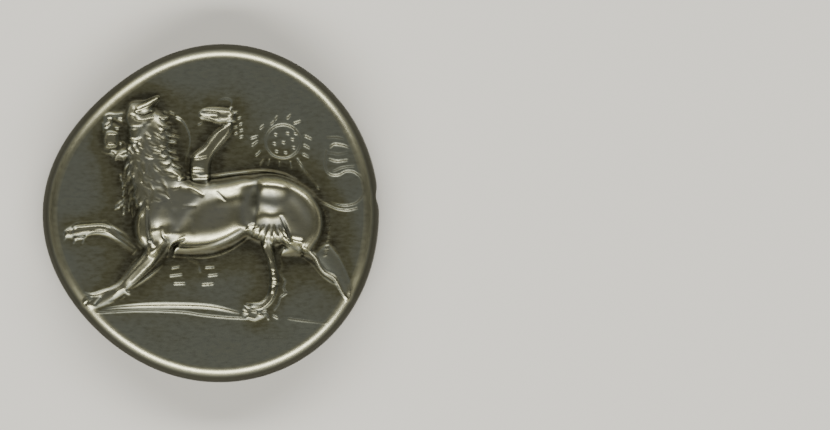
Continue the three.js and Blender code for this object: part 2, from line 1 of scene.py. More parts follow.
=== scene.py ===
"""The looks of an ancient silver stater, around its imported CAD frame.

The coin lies with its front face up. The front shows a chimera that walks left, the back a dove inside
an olive wreath. Each face is struck here as a relief map, in millimetres above the field, and both maps
are then laid on the blank's own surface, which has the same outline and profile as the frame's solid.
"""

import math

import bpy
import numpy as np
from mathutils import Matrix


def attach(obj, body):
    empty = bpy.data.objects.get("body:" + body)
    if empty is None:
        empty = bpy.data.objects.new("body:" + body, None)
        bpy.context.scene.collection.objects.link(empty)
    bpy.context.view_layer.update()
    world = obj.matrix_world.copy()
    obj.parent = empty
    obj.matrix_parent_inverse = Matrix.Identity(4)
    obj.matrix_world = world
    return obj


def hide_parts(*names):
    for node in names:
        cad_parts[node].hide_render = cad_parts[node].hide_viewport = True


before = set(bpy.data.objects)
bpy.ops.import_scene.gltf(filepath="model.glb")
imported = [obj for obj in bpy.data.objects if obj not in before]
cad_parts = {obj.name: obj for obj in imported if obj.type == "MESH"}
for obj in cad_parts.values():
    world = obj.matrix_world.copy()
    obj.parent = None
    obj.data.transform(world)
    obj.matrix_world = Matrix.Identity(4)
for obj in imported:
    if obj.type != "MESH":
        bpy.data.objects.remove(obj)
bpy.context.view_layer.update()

# The front die: the chimera. It is one animal with a lion's forepart, a goat's head on its back and a
# snake for a tail. A die was cut by hand, so its masses are sunk first, as rounded forms, and then muscles
# swell on them and lines, hair and claws are cut with a graver.

MM = 0.001
MAP_HALF_WIDTH = 12.6
MAP_STEP = 0.03
FAR = 1e9
LEAST_HALF_WIDTH = 1e-3
LEAST_FILLET = 1e-6
LEAST_LENGTH = 1e-12

map_axis = np.arange(-MAP_HALF_WIDTH, MAP_HALF_WIDTH + MAP_STEP / 2, MAP_STEP)
map_across, map_up = np.meshgrid(map_axis, map_axis)


def smooth_path(stations, per_stretch=6):
    """The stations with more of them between, on a Catmull-Rom curve through all of their columns."""
    points = np.array(stations, dtype=float)
    padded = np.vstack([2 * points[0] - points[1], points, 2 * points[-1] - points[-2]])
    finer = []
    for i in range(len(points) - 1):
        p0, p1, p2, p3 = padded[i:i + 4]
        for t in np.linspace(0, 1, per_stretch, endpoint=False):
            finer.append(
                0.5 * (2 * p1 + (p2 - p0) * t
                       + (2 * p0 - 5 * p1 + 4 * p2 - p3) * t ** 2
                       + (3 * p1 - p0 - 3 * p2 + p3) * t ** 3)
            )
    finer.append(points[-1])
    finer = np.array(finer)
    finer[:, 2] = np.maximum(finer[:, 2], LEAST_HALF_WIDTH)
    return finer


def window_around(low, high):
    """The part of the map between two corners."""
    first = np.clip(((low + MAP_HALF_WIDTH) / MAP_STEP).astype(int), 0, len(map_axis) - 1)
    last = np.clip(((high + MAP_HALF_WIDTH) / MAP_STEP).astype(int) + 2, 0, len(map_axis))
    return slice(first[1], last[1]), slice(first[0], last[0])


def distance_along(window, a, b):
    """How far the places of a window lie from a straight stretch, and which share along it they face."""
    along = b[:2] - a[:2]
    length = max(float(along @ along), LEAST_LENGTH)
    across, up = map_across[window] - a[0], map_up[window] - a[1]
    part = np.clip((across * along[0] + up * along[1]) / length, 0, 1)
    return np.hypot(across - part * along[0], up - part * along[1]), part


def trace(stations, unit, spread=1.0, curved=True):
    """Around a path: the part of the map it touches, the distance from it in half widths, and its height.

    A station holds the place across and up, the half width and the height.
    """
    path = smooth_path(stations) if curved and len(stations) > 2 else np.array(stations, dtype=float)
    path = path * np.array([unit, unit, unit, 1.0])
    nearest = np.full(map_across.shape, FAR)
    height = np.zeros(map_across.shape)
    for a, b in zip(path[:-1], path[1:]):
        reach = max(a[2], b[2]) * spread + MAP_STEP
        window = window_around(np.minimum(a, b)[:2] - reach, np.maximum(a, b)[:2] + reach)
        distance, part = distance_along(window, a, b)
        share = distance / (a[2] + (b[2] - a[2]) * part)
        closer = share < nearest[window]
        nearest[window] = np.where(closer, share, nearest[window])
        height[window] = np.where(closer, a[3] + (b[3] - a[3]) * part, height[window])
    reach = path[:, 2].max() * spread + 2 * MAP_STEP
    window = window_around(path[:, :2].min(axis=0) - reach, path[:, :2].max(axis=0) + reach)
    return window, nearest[window], height[window]


def smooth_max(low, high, blend):
    """The higher of two surfaces, with a fillet where they meet above the field."""
    fillet = np.clip(np.minimum(low, high), 0, blend) + LEAST_FILLET
    mix = np.clip(0.5 + 0.5 * (high - low) / fillet, 0, 1)
    return low + (high - low) * mix + fillet * mix * (1 - mix)


# Cross sections of a form: how full its top is and how steep its flanks are
ROUNDED = (2.6, 0.75)
FULL = (3.6, 0.75)
RIDGE = (2.0, 1.4)
SLANTED = (1.3, 1.1)
OUTLINE_SHOULDER = (2.2, 0.8)
# Lines, swells and grooves: their reach in half widths, the fall of their bell curve, the height over the
# field at which a swell takes full hold, and a line's narrowing with the bends of its crest and foot
TOOL_REACH = 2.2
BELL_FALL = 1.6
FULL_HOLD = 0.25
LINE_NARROWING, LINE_CREST, LINE_FOOT = 1.2, 1.3, 1.15


def raise_form(relief, unit, scale, stations, profile=ROUNDED, blend=0.08, curved=True):
    """Raises a form along a path, joined to what is there already."""
    window, share, height = trace(stations, unit, 1.0, curved)
    fullness, flank = profile
    rise = height * scale * (1 - np.clip(share, 0, 1) ** fullness) ** flank
    relief[window] = smooth_max(relief[window], rise, blend)


def raise_outline(relief, unit, scale, outline, height, shoulder, blend=0.1):
    """Raises a form with a closed outline, which climbs over its shoulder to a nearly flat top."""
    corners = np.array(list(outline) + [outline[0]], dtype=float)
    path = smooth_path(np.column_stack([corners, np.ones((len(corners), 2))]))[:, :2] * unit
    nearest = np.full(map_across.shape, FAR)
    inside = np.zeros(map_across.shape, dtype=bool)
    for a, b in zip(path[:-1], path[1:]):
        reach = shoulder * unit + MAP_STEP
        window = window_around(np.minimum(a, b) - reach, np.maximum(a, b) + reach)
        nearest[window] = np.minimum(nearest[window], distance_along(window, a, b)[0])
        beside = window_around(
            np.array([-MAP_HALF_WIDTH, min(a[1], b[1]) - MAP_STEP]), np.maximum(a, b) + MAP_STEP,
        )
        crosses = (a[1] > map_up[beside]) != (b[1] > map_up[beside])
        crossing = a[0] + (map_up[beside] - a[1]) * ((b[0] - a[0]) / (b[1] - a[1] or LEAST_LENGTH))
        inside[beside] ^= crosses & (map_across[beside] < crossing)
    climb = np.clip(nearest / (shoulder * unit), 0, 1)
    fullness, flank = OUTLINE_SHOULDER
    rise = height * scale * np.where(inside, (1 - (1 - climb) ** fullness) ** flank, 0)
    relief[:] = smooth_max(relief, rise, blend)


def draw_line(relief, unit, scale, stations, curved=True):
    """Adds a low line, a small ridge with even flanks, on top of whatever is there."""
    window, share, height = trace(stations, unit, TOOL_REACH, curved)
    relief[window] += height * scale * np.maximum(1 - (LINE_NARROWING * share) ** LINE_CREST, 0) ** LINE_FOOT


def swell(relief, unit, scale, stations):
    """Swells, or with a negative height hollows, what is already raised along a path."""
    window, share, height = trace(stations, unit, TOOL_REACH)
    hold = np.clip(relief[window] / FULL_HOLD, 0, 1)
    relief[window] += height * scale * np.exp(-BELL_FALL * share ** 2) * hold


def groove(relief, unit, scale, stations):
    """Cuts a groove along a path, into the forms and the field alike, but never below the field."""
    window, share, height = trace(stations, unit, TOOL_REACH)
    depth = height * scale * np.exp(-BELL_FALL * share ** 2)
    relief[window] = np.maximum(relief[window] - depth, np.minimum(relief[window], 0))


def engrave(relief, die, strokes):
    """Works a die with a list of strokes. Each one is a tool and the stations of its path."""
    for tool, *stations in strokes:
        tool(relief, *die, stations)


def soften(values, radius):
    """A blur by three box averages, which is close to a bell curve of the given radius in millimetres."""
    size = max(int(round(radius / MAP_STEP)), 1)
    for axis in (0, 1):
        for _ in range(3):
            pad = [(0, 0), (0, 0)]
            pad[axis] = (size + 1, size)
            total = np.cumsum(np.pad(values, pad, mode="edge"), axis=axis)
            upper = np.take(total, range(2 * size + 1, total.shape[axis]), axis=axis)
            lower = np.take(total, range(0, total.shape[axis] - 2 * size - 1), axis=axis)
            values = (upper - lower) / (2 * size + 1)
    return values


# Places are in hundredths of the chimera's length from the middle of the coin, and heights are shares of
# its relief. Its length and its relief are in millimetres.
CHIMERA_LENGTH = 21.4
CHIMERA_RELIEF = 1.05
CHIMERA = (CHIMERA_LENGTH / 100, CHIMERA_RELIEF)
TRUNK_SOFTENING = 0.15
LIMB_SOFTENING = 0.05

front = np.zeros_like(map_across)

# Trunk
raise_outline(front, *CHIMERA, [
    (-20.0, 10.0), (-14.0, 11.4), (-9.0, 11.0), (-3.0, 9.8), (1.0, 10.0), (6.0, 10.8), (11.0, 11.7),
    (15.0, 12.0), (19.4, 12.5), (24.0, 11.8), (28.6, 10.0), (32.7, 7.3), (36.0, 4.0), (38.0, 0.0), (38.3, -4.3),
    (37.3, -8.0), (35.3, -11.0), (33.0, -13.0), (30.0, -13.2), (26.6, -12.0), (24.0, -10.0), (20.0, -9.4),
    (16.4, -9.0), (13.4, -7.4), (11.4, -7.0), (9.0, -8.0), (6.0, -9.6), (2.0, -10.9), (-2.4, -11.6),
    (-6.6, -11.7), (-10.6, -11.2), (-14.0, -11.2), (-17.4, -11.8), (-21.0, -12.0), (-23.7, -10.6),
    (-25.2, -7.6), (-25.6, -4.4), (-25.0, -1.0), (-23.6, 2.2), (-22.4, 6.0),
], 0.7, 2.6)
# Ribs
raise_outline(front, *CHIMERA, [
    (-4.7, 8.3), (-1.3, 9.3), (1.7, 10.3), (6.0, 11.0), (10.0, 11.3), (12.3, 9.7), (13.3, 6.0), (13.3, 1.0),
    (13.0, -4.0), (11.0, -7.3), (7.3, -9.7), (2.7, -11.3), (-2.3, -12.0), (-7.3, -12.0), (-11.3, -10.7),
    (-14.0, -8.3), (-13.3, -4.3), (-10.7, 0.3), (-8.0, 4.7),
], 1.02, 7.0, 0.2)
# Standing foreleg's shoulder
raise_form(front, *CHIMERA, [
    (-15.7, -0.3, 3.4, 0.74), (-16.0, -3.7, 4.4, 0.9), (-16.7, -7.0, 4.2, 0.98), (-18.0, -10.0, 3.4, 0.9),
    (-19.3, -12.7, 2.8, 0.74),
], blend=0.3)
# Haunch and thigh of the far hind leg
raise_form(front, *CHIMERA, [
    (22.0, 9.0, 3.2, 0.74), (23.7, 4.3, 5.0, 0.84), (26.7, -0.3, 6.4, 0.9), (30.0, -5.7, 5.4, 0.86),
    (31.3, -10.0, 3.6, 0.74),
], blend=0.3)
# The rump runs out softly at the right
raise_form(front, *CHIMERA, [
    (34.0, 4.3, 3.0, 0.2), (36.7, 0.3, 3.8, 0.3), (37.3, -4.3, 4.0, 0.32), (36.3, -9.0, 3.8, 0.3),
    (34.0, -12.3, 3.0, 0.2),
], SLANTED)
# Thigh of the near hind leg
raise_form(front, *CHIMERA, [
    (17.3, 2.0, 2.2, 0.7), (19.7, -0.3, 3.0, 0.84), (20.7, -4.0, 3.2, 0.8), (20.3, -7.7, 2.7, 0.66),
], blend=0.25)
# Neck and mane
raise_outline(front, *CHIMERA, [
    (-27.0, 24.0), (-25.0, 28.3), (-21.3, 33.7), (-17.7, 33.7), (-15.0, 31.0), (-13.7, 27.3), (-13.3, 23.3),
    (-13.0, 19.7), (-11.3, 16.3), (-9.0, 13.3), (-8.3, 10.3), (-10.7, 7.0), (-14.7, 4.7), (-19.7, 2.0),
    (-23.7, 1.0), (-26.0, 4.0), (-26.3, 8.3), (-27.3, 12.0), (-28.3, 15.7), (-28.3, 20.0),
], 0.6, 5.0)
front = soften(front, TRUNK_SOFTENING)

# Standing foreleg
raise_form(front, *CHIMERA, [
    (-18.7, -11.0, 3.2, 0.44), (-20.3, -14.3, 2.9, 0.36), (-22.7, -17.3, 2.5, 0.28),
], FULL)
engrave(front, CHIMERA, [
    (raise_form, (-21.7, -16.0, 2.4, 0.26), (-23.7, -18.3, 2.7, 0.27), (-26.7, -21.7, 2.3, 0.22),
     (-29.7, -24.7, 1.8, 0.17)),
    (raise_form, (-29.3, -24.7, 1.8, 0.22), (-32.7, -26.7, 2.1, 0.16), (-36.3, -28.3, 2.6, 0.13),
     (-39.7, -29.7, 2.2, 0.1), (-42.3, -30.7, 1.4, 0.06)),
    # Raised foreleg: the upper arm hardly stands off the field
    (raise_form, (-23.7, -12.3, 2.4, 0.06), (-26.7, -10.3, 2.6, 0.06), (-30.0, -8.0, 2.2, 0.07),
     (-33.7, -6.0, 1.8, 0.13), (-37.7, -5.3, 1.5, 0.2), (-42.3, -5.7, 1.5, 0.2), (-45.7, -6.3, 1.8, 0.18),
     (-47.7, -6.7, 1.3, 0.12)),
    # Near hind leg: shank, hock and cannon
    (raise_form, (19.3, -8.0, 2.8, 0.44), (19.3, -11.3, 1.9, 0.32), (20.0, -14.3, 1.5, 0.28),
     (20.7, -17.7, 1.3, 0.26), (21.3, -21.3, 1.5, 0.28), (21.0, -25.0, 1.4, 0.26), (19.7, -28.7, 1.2, 0.2),
     (17.3, -31.0, 1.2, 0.16), (14.3, -31.7, 1.2, 0.12)),
    (raise_form, (17.3, -33.3, 1.5, 0.1), (14.7, -33.7, 2.2, 0.13), (12.3, -33.0, 1.8, 0.12)),
    # Far hind leg, stretched back; its upper side runs out into the field
    (raise_form, (31.0, -8.3, 4.0, 0.5), (34.3, -10.3, 4.2, 0.34), (37.7, -13.3, 4.0, 0.2),
     (41.0, -17.3, 3.4, 0.14), (43.7, -21.7, 2.6, 0.1), (45.7, -26.0, 1.8, 0.07), (46.7, -29.0, 1.1, 0.05)),
])
# Groin between the hind legs
raise_form(front, *CHIMERA, [(25.0, -11.7, 2.7, 0.26), (30.0, -11.7, 2.7, 0.28)], SLANTED)
# Belly band under the ribs
raise_form(front, *CHIMERA, [
    (-12.7, -11.0, 2.4, 0.24), (-6.0, -11.2, 2.6, 0.27), (1.0, -10.5, 2.5, 0.25), (7.0, -8.0, 2.3, 0.2),
    (12.0, -5.0, 1.8, 0.14),
], SLANTED)

# Low ground of the open mouth, then the slab of the skull and cheek
raise_outline(front, *CHIMERA, [
    (-36.0, 32.3), (-34.3, 33.7), (-30.7, 34.0), (-27.7, 34.3), (-26.7, 30.3), (-26.7, 22.3), (-29.3, 19.0),
    (-32.7, 19.3), (-35.3, 21.0), (-36.0, 22.3), (-36.0, 26.3), (-36.3, 29.3),
], 0.1, 3.0)
raise_outline(front, *CHIMERA, [
    (-28.0, 34.7), (-26.7, 36.7), (-24.0, 37.3), (-21.0, 37.0), (-18.7, 35.3), (-18.0, 31.7), (-18.7, 28.7),
    (-20.7, 27.3), (-22.3, 25.7), (-22.7, 23.3), (-25.0, 22.8), (-27.3, 23.3), (-27.7, 26.3), (-28.0, 29.0),
    (-28.7, 31.7),
], 0.54, 4.4)
# Block of the muzzle's front, and the lower jaw
raise_outline(front, *CHIMERA, [
    (-35.3, 26.3), (-34.0, 27.3), (-31.7, 27.0), (-30.7, 25.7), (-31.0, 23.3), (-32.7, 22.0), (-34.7, 22.3),
    (-35.7, 24.0),
], 0.36, 1.6)
raise_form(front, *CHIMERA, [
    (-32.7, 20.3, 0.9, 0.2), (-30.3, 19.3, 1.2, 0.28), (-27.7, 20.3, 1.4, 0.36), (-25.3, 22.3, 1.4, 0.44),
])
# Goat's neck, a flat slab, and its head
raise_outline(front, *CHIMERA, [
    (5.0, 29.7), (7.0, 30.7), (7.3, 28.3), (6.0, 25.7), (3.7, 23.0), (1.3, 19.7), (0.0, 16.0), (-0.5, 9.6),
    (-3.7, 9.2), (-6.4, 10.2), (-6.7, 14.7), (-6.3, 18.3), (-4.7, 20.3), (-2.3, 22.0), (-0.3, 24.7),
    (2.0, 27.3),
], 0.3, 1.1)
raise_form(front, *CHIMERA, [
    (6.3, 32.3, 2.0, 0.36), (3.7, 32.5, 2.4, 0.34), (0.3, 32.8, 2.2, 0.26), (-2.3, 32.8, 1.5, 0.18),
])
front = soften(front, LIMB_SOFTENING)

# Thin raised contour along the back and belly, where the die was first marked out
engrave(front, CHIMERA, [
    (draw_line, (-9.7, 11.5, 0.9, 0.1), (-4.7, 11.7, 0.8, 0.08), (1.0, 12.2, 0.9, 0.12), (8.3, 13.2, 0.9, 0.13),
     (17.3, 14.0, 0.9, 0.12), (24.3, 13.0, 0.8, 0.08), (28.7, 11.0, 0.7, 0.03)),
    (draw_line, (-12.0, -14.3, 0.6, 0.04), (-2.0, -14.7, 0.6, 0.06), (5.0, -13.0, 0.6, 0.06),
     (10.0, -10.0, 0.6, 0.06), (14.0, -6.7, 0.6, 0.04)),
    # Groove between the ribs and the belly band
    (groove, (-12.0, -10.7, 0.6, 0.12), (-6.0, -11.0, 0.6, 0.16), (0.0, -10.3, 0.6, 0.14),
     (5.3, -8.3, 0.6, 0.1), (10.0, -5.7, 0.6, 0.08)),
    # Streaks where the shoulder meets the neck, cuts in the ribs, and worn marks on the side
    (swell, (-6.7, 8.7, 0.9, 0.10), (-2.7, 6.2, 0.9, 0.10)),
    (swell, (-1.0, 9.7, 1.2, 0.09), (1.0, 10.3, 1.2, 0.09)),
    (groove, (2.3, 7.0, 0.45, 0.06), (5.0, 4.3, 0.45, 0.08)),
    (swell, (3.6, 4.2, 2.6, 0.06), (9.4, 5.0, 2.6, 0.1)),
    (swell, (-8.7, 2.2, 0.8, 0.035), (-5.0, 2.5, 0.8, 0.045)),
    (swell, (-12.0, 0.3, 1.6, -0.04), (-11.0, -5.3, 1.6, -0.04)),
    (swell, (-6.0, -1.7, 1.4, -0.03), (-5.7, -5.7, 1.4, -0.03)),
    # Chest lobe, and the folds between it, the shoulder and the belly
    (groove, (-21.0, 1.7, 0.7, 0.06), (-21.0, -3.7, 0.7, 0.14), (-20.3, -9.0, 0.7, 0.16)),
    (swell, (-23.3, -1.7, 1.6, 0.08), (-22.7, -7.7, 1.6, 0.08)),
    (groove, (-9.0, -9.0, 0.6, 0.12), (-12.0, -10.7, 0.7, 0.3), (-13.7, -14.7, 0.6, 0.24)),
    (draw_line, (-8.7, -8.0, 0.7, 0.04), (-11.0, -9.3, 0.8, 0.09), (-13.3, -11.0, 0.8, 0.09),
     (-14.3, -14.3, 0.7, 0.07)),
    (draw_line, (-9.3, -10.0, 0.7, 0.05), (-11.3, -11.7, 0.7, 0.08), (-12.3, -14.3, 0.7, 0.06)),
    (groove, (-19.7, -8.7, 0.5, 0.1), (-18.7, -10.7, 0.5, 0.12)),
    (swell, (-19.7, -6.0, 1.5, 0.1), (-17.3, -5.3, 1.5, 0.08)),
    (swell, (-14.7, -7.3, 1.6, 0.07), (-11.3, -6.3, 1.5, 0.06)),
    (swell, (-20.7, -4.3, 2.4, 0.06), (-16.3, -4.7, 2.6, 0.1), (-12.0, -4.3, 2.4, 0.06)),
    (swell, (-20.3, -9.6, 2.2, -0.08), (-16.0, -10.0, 2.4, -0.14), (-12.3, -9.3, 2.0, -0.08)),
    (groove, (-16.3, -5.0, 0.7, 0.06), (-15.7, -7.7, 0.6, 0.12), (-14.3, -9.3, 0.6, 0.12)),
    # Hip bone, flank, the hollow of the waist, and the fold between flank and haunch
    (swell, (19.0, 9.0, 3.4, 0.3), (23.7, 8.7, 3.4, 0.28)),
    (swell, (16.0, -1.0, 3.4, 0.2), (22.0, -0.7, 3.2, 0.22)),
    (swell, (14.0, 12.3, 2.8, -0.08), (14.3, 5.7, 3.0, -0.14), (13.0, -1.7, 2.8, -0.14)),
    (groove, (15.3, 10.0, 1.3, 0.08), (14.8, 5.0, 1.5, 0.13), (14.8, 0.3, 1.5, 0.13), (13.8, -3.3, 1.3, 0.06)),
    (groove, (23.7, -1.3, 0.6, 0.08), (25.3, -5.3, 0.7, 0.18), (26.7, -9.3, 0.6, 0.18)),
    (swell, (27.3, -8.7, 1.6, 0.12), (30.0, -9.3, 1.6, 0.1)),
    # Its rump is lower at the right
    (swell, (36.0, 4.3, 3.0, -0.16), (38.0, 0.0, 3.2, -0.26), (38.3, -4.3, 3.2, -0.28),
     (37.3, -8.3, 3.0, -0.24), (35.0, -11.3, 2.6, -0.14)),
])

# The standing foreleg swells along its upper side and slopes away below
engrave(front, CHIMERA, [
    (swell, (-16.3, -9.7, 1.7, 0.06), (-19.0, -13.0, 2.3, 0.15), (-22.7, -16.7, 2.2, 0.16),
     (-26.3, -20.3, 1.8, 0.13), (-29.0, -23.3, 1.2, 0.05)),
    # Ridge of the standing foreleg, and the line behind it where the die slipped
    (draw_line, (-17.3, -13.7, 1.0, 0.02), (-19.7, -17.0, 1.6, 0.08), (-23.0, -20.0, 1.7, 0.1),
     (-26.0, -22.7, 1.2, 0.07)),
    (draw_line, (-16.0, -17.3, 0.56, 0.031), (-19.3, -20.0, 1.0, 0.08), (-23.0, -22.7, 1.0, 0.08),
     (-26.3, -25.0, 0.56, 0.039)),
    (draw_line, (-28.0, -26.3, 1.0, 0.1), (-27.3, -26.7, 1.0, 0.1)),
    (draw_line, (-28.7, -27.7, 0.56, 0.047), (-30.0, -28.7, 0.49, 0.031)),
    (draw_line, (-29.0, -25.0, 0.63, 0.047), (-31.0, -26.0, 0.63, 0.055), (-32.0, -27.3, 0.56, 0.031)),
    # Its paw
    (draw_line, (-42.3, -26.7, 0.56, 0.023), (-39.7, -27.3, 1.0, 0.07), (-37.0, -27.0, 1.0, 0.08),
     (-34.3, -25.7, 0.56, 0.031)),
])
for u, v, tip_u, tip_v in [(-36.7, -28.3, -38.7, -30.7), (-39.7, -28.3, -41.7, -30.3)]:
    groove(front, *CHIMERA, [(u, v, 0.45, 0.06), (tip_u, tip_v, 0.45, 0.06)])
engrave(front, CHIMERA, [
    (draw_line, (-39.3, -30.7, 0.49, 0.039), (-38.0, -31.3, 0.49, 0.023)),
    (draw_line, (-34.0, -30.0, 0.49, 0.031), (-32.3, -29.3, 0.49, 0.039)),
    # Raised foreleg: contour above, two ridges, then the claws
    (draw_line, (-46.7, -4.7, 0.49, 0.023), (-44.3, -3.3, 0.49, 0.031), (-38.0, -3.0, 0.49, 0.031),
     (-34.7, -2.7, 0.49, 0.039), (-32.7, -4.7, 0.49, 0.031), (-29.0, -7.0, 0.49, 0.031),
     (-26.3, -9.0, 0.49, 0.031), (-24.3, -11.0, 0.49, 0.039)),
    (draw_line, (-44.3, -4.7, 0.56, 0.078), (-40.0, -4.3, 0.56, 0.07), (-36.3, -4.2, 0.63, 0.094),
     (-34.0, -5.0, 0.56, 0.055)),
    (draw_line, (-41.3, -7.3, 0.49, 0.047), (-38.7, -6.0, 0.56, 0.07), (-35.7, -6.0, 0.63, 0.086),
     (-33.7, -6.7, 0.56, 0.055), (-29.3, -9.7, 0.49, 0.031), (-25.7, -12.3, 0.49, 0.031)),
    (draw_line, (-32.7, -6.3, 0.49, 0.031), (-28.7, -8.7, 0.49, 0.039), (-25.0, -11.3, 0.56, 0.055)),
    (draw_line, (-24.3, -11.7, 0.56, 0.062), (-26.0, -13.7, 0.49, 0.039)),
    (draw_line, (-45.0, -8.3, 1.0, 0.13), (-42.0, -8.0, 0.63, 0.086), (-41.3, -6.7, 0.49, 0.039)),
])
for u, v, tip_u, tip_v in [(-47.7, -6.7, -48.7, -8.7), (-45.0, -8.7, -45.7, -10.0), (-42.3, -8.7, -42.7, -10.0),
                           (-46.7, -5.7, -48.0, -6.0)]:
    draw_line(front, *CHIMERA, [(u, v, 0.56, 0.062), (tip_u, tip_v, 0.42, 0.039)])
engrave(front, CHIMERA, [
    (groove, (-46.0, -5.0, 0.5, 0.07), (-45.7, -7.7, 0.5, 0.07)),
    # Near hind leg: both edges of the shank, the hock, and the tendon behind it
    (draw_line, (17.3, -9.3, 0.56, 0.062), (18.0, -11.7, 0.63, 0.078), (19.3, -14.3, 0.63, 0.078),
     (20.3, -16.0, 0.56, 0.047)),
    (draw_line, (19.3, -9.0, 0.49, 0.055), (20.3, -12.0, 0.49, 0.039), (20.3, -14.7, 0.49, 0.047)),
    (draw_line, (20.3, -19.3, 1.0, 0.09), (21.0, -19.7, 1.0, 0.09)),
    (draw_line, (20.7, -22.3, 1.1, 0.1), (22.0, -22.7, 1.1, 0.1)),
    (draw_line, (20.7, -25.0, 1.1, 0.1), (20.7, -26.0, 1.1, 0.09)),
    (groove, (20.0, -23.7, 0.5, 0.06), (22.3, -24.0, 0.5, 0.06)),
])
draw_line(front, *CHIMERA, [
    (23.0, -9.7, 0.49, 0.055), (24.7, -12.3, 0.56, 0.062), (23.3, -14.7, 0.49, 0.047),
    (24.0, -17.0, 0.49, 0.039), (23.3, -19.7, 0.49, 0.047), (25.0, -22.7, 0.56, 0.062),
    (24.3, -25.0, 0.56, 0.062), (25.3, -26.7, 0.56, 0.07), (23.3, -28.0, 0.56, 0.062),
    (22.7, -30.3, 0.49, 0.039), (21.3, -32.3, 0.49, 0.039),
], curved=False)
engrave(front, CHIMERA, [
    (draw_line, (21.3, -27.0, 0.49, 0.039), (19.7, -29.7, 0.56, 0.055), (17.0, -31.7, 0.56, 0.07),
     (14.0, -31.7, 0.49, 0.055)),
    (draw_line, (19.0, -28.0, 0.42, 0.031), (17.3, -30.0, 0.49, 0.039), (15.0, -30.3, 0.49, 0.047),
     (12.0, -30.3, 0.49, 0.055)),
])
# Its paw: toes with gaps between, and the heel
for u, v, tip_u, tip_v in [
    (11.3, -31.0, 12.7, -32.0), (11.0, -32.7, 12.3, -33.3), (13.7, -32.7, 15.3, -33.0),
    (12.3, -34.7, 14.7, -35.3), (16.0, -33.7, 17.3, -34.3), (17.3, -32.7, 18.7, -32.7),
    (19.0, -33.7, 19.3, -35.3), (21.0, -34.3, 22.3, -35.0),
]:
    draw_line(front, *CHIMERA, [(u, v, 0.56, 0.062), (tip_u, tip_v, 0.56, 0.078)])
# Far hind leg: plate at the knee, ridge along the lower side, contour below it
engrave(front, CHIMERA, [
    (draw_line, (27.7, -9.3, 1.7, 0.12), (30.0, -9.7, 1.7, 0.13)),
    (groove, (29.7, -11.0, 0.6, 0.12), (30.7, -13.7, 0.6, 0.14)),
    (draw_line, (31.3, -12.0, 1.2, 0.12), (33.3, -13.0, 1.2, 0.12), (35.0, -14.7, 1.1, 0.11),
     (36.3, -17.3, 1.2, 0.12), (38.3, -19.7, 1.2, 0.13), (41.0, -21.3, 1.2, 0.13), (42.3, -23.0, 1.1, 0.11),
     (43.7, -25.7, 1.0, 0.09), (45.7, -29.0, 0.63, 0.078)),
    (draw_line, (31.0, -14.7, 0.49, 0.031), (34.0, -17.0, 0.56, 0.039), (37.3, -20.7, 0.56, 0.047),
     (40.0, -22.7, 0.56, 0.055), (41.7, -23.7, 0.49, 0.031)),
])

LOCK_HALF_WIDTHS = (0.6, 1.0, 0.9, 0.5)
LOCK_HEIGHTS = (0.2, 0.8, 1.0, 0.9)
LOCK_STEPS = len(LOCK_HEIGHTS) - 1


def lock(hair, u, v, length, lean, curl, half_width, height):
    """A curved lock of hair on a layer of its own: it lifts from its root to a blunt tip."""
    stations = []
    for width_share, height_share in zip(LOCK_HALF_WIDTHS, LOCK_HEIGHTS):
        stations.append((u, v, half_width * width_share, height * height_share))
        u += length / LOCK_STEPS * math.cos(math.radians(lean))
        v += length / LOCK_STEPS * math.sin(math.radians(lean))
        lean += curl
    raise_form(hair, *CHIMERA, stations, RIDGE, blend=0.01, curved=False)


# Fringe of hair that hangs from the flank over the near hind leg
hair = np.zeros_like(front)
for u, v, length, lean in [
    (15.0, -3.7, 2.2, -160), (13.3, -5.0, 2.0, -150), (16.3, -4.3, 2.6, -140), (15.7, -6.0, 2.4, -130),
    (18.0, -4.0, 2.8, -115), (19.7, -4.0, 3.0, -100), (21.3, -4.0, 3.0, -88), (23.0, -4.3, 3.0, -74),
    (24.3, -5.0, 3.0, -62), (17.3, -6.3, 2.6, -125), (19.0, -6.7, 3.0, -105), (20.7, -6.7, 3.2, -90),
    (22.3, -6.7, 3.0, -78), (24.0, -7.3, 3.0, -64), (25.3, -8.3, 2.6, -56), (18.3, -9.0, 2.2, -100),
]:
    lock(hair, u, v, length, lean, 0, 0.75, 0.12)
front += hair

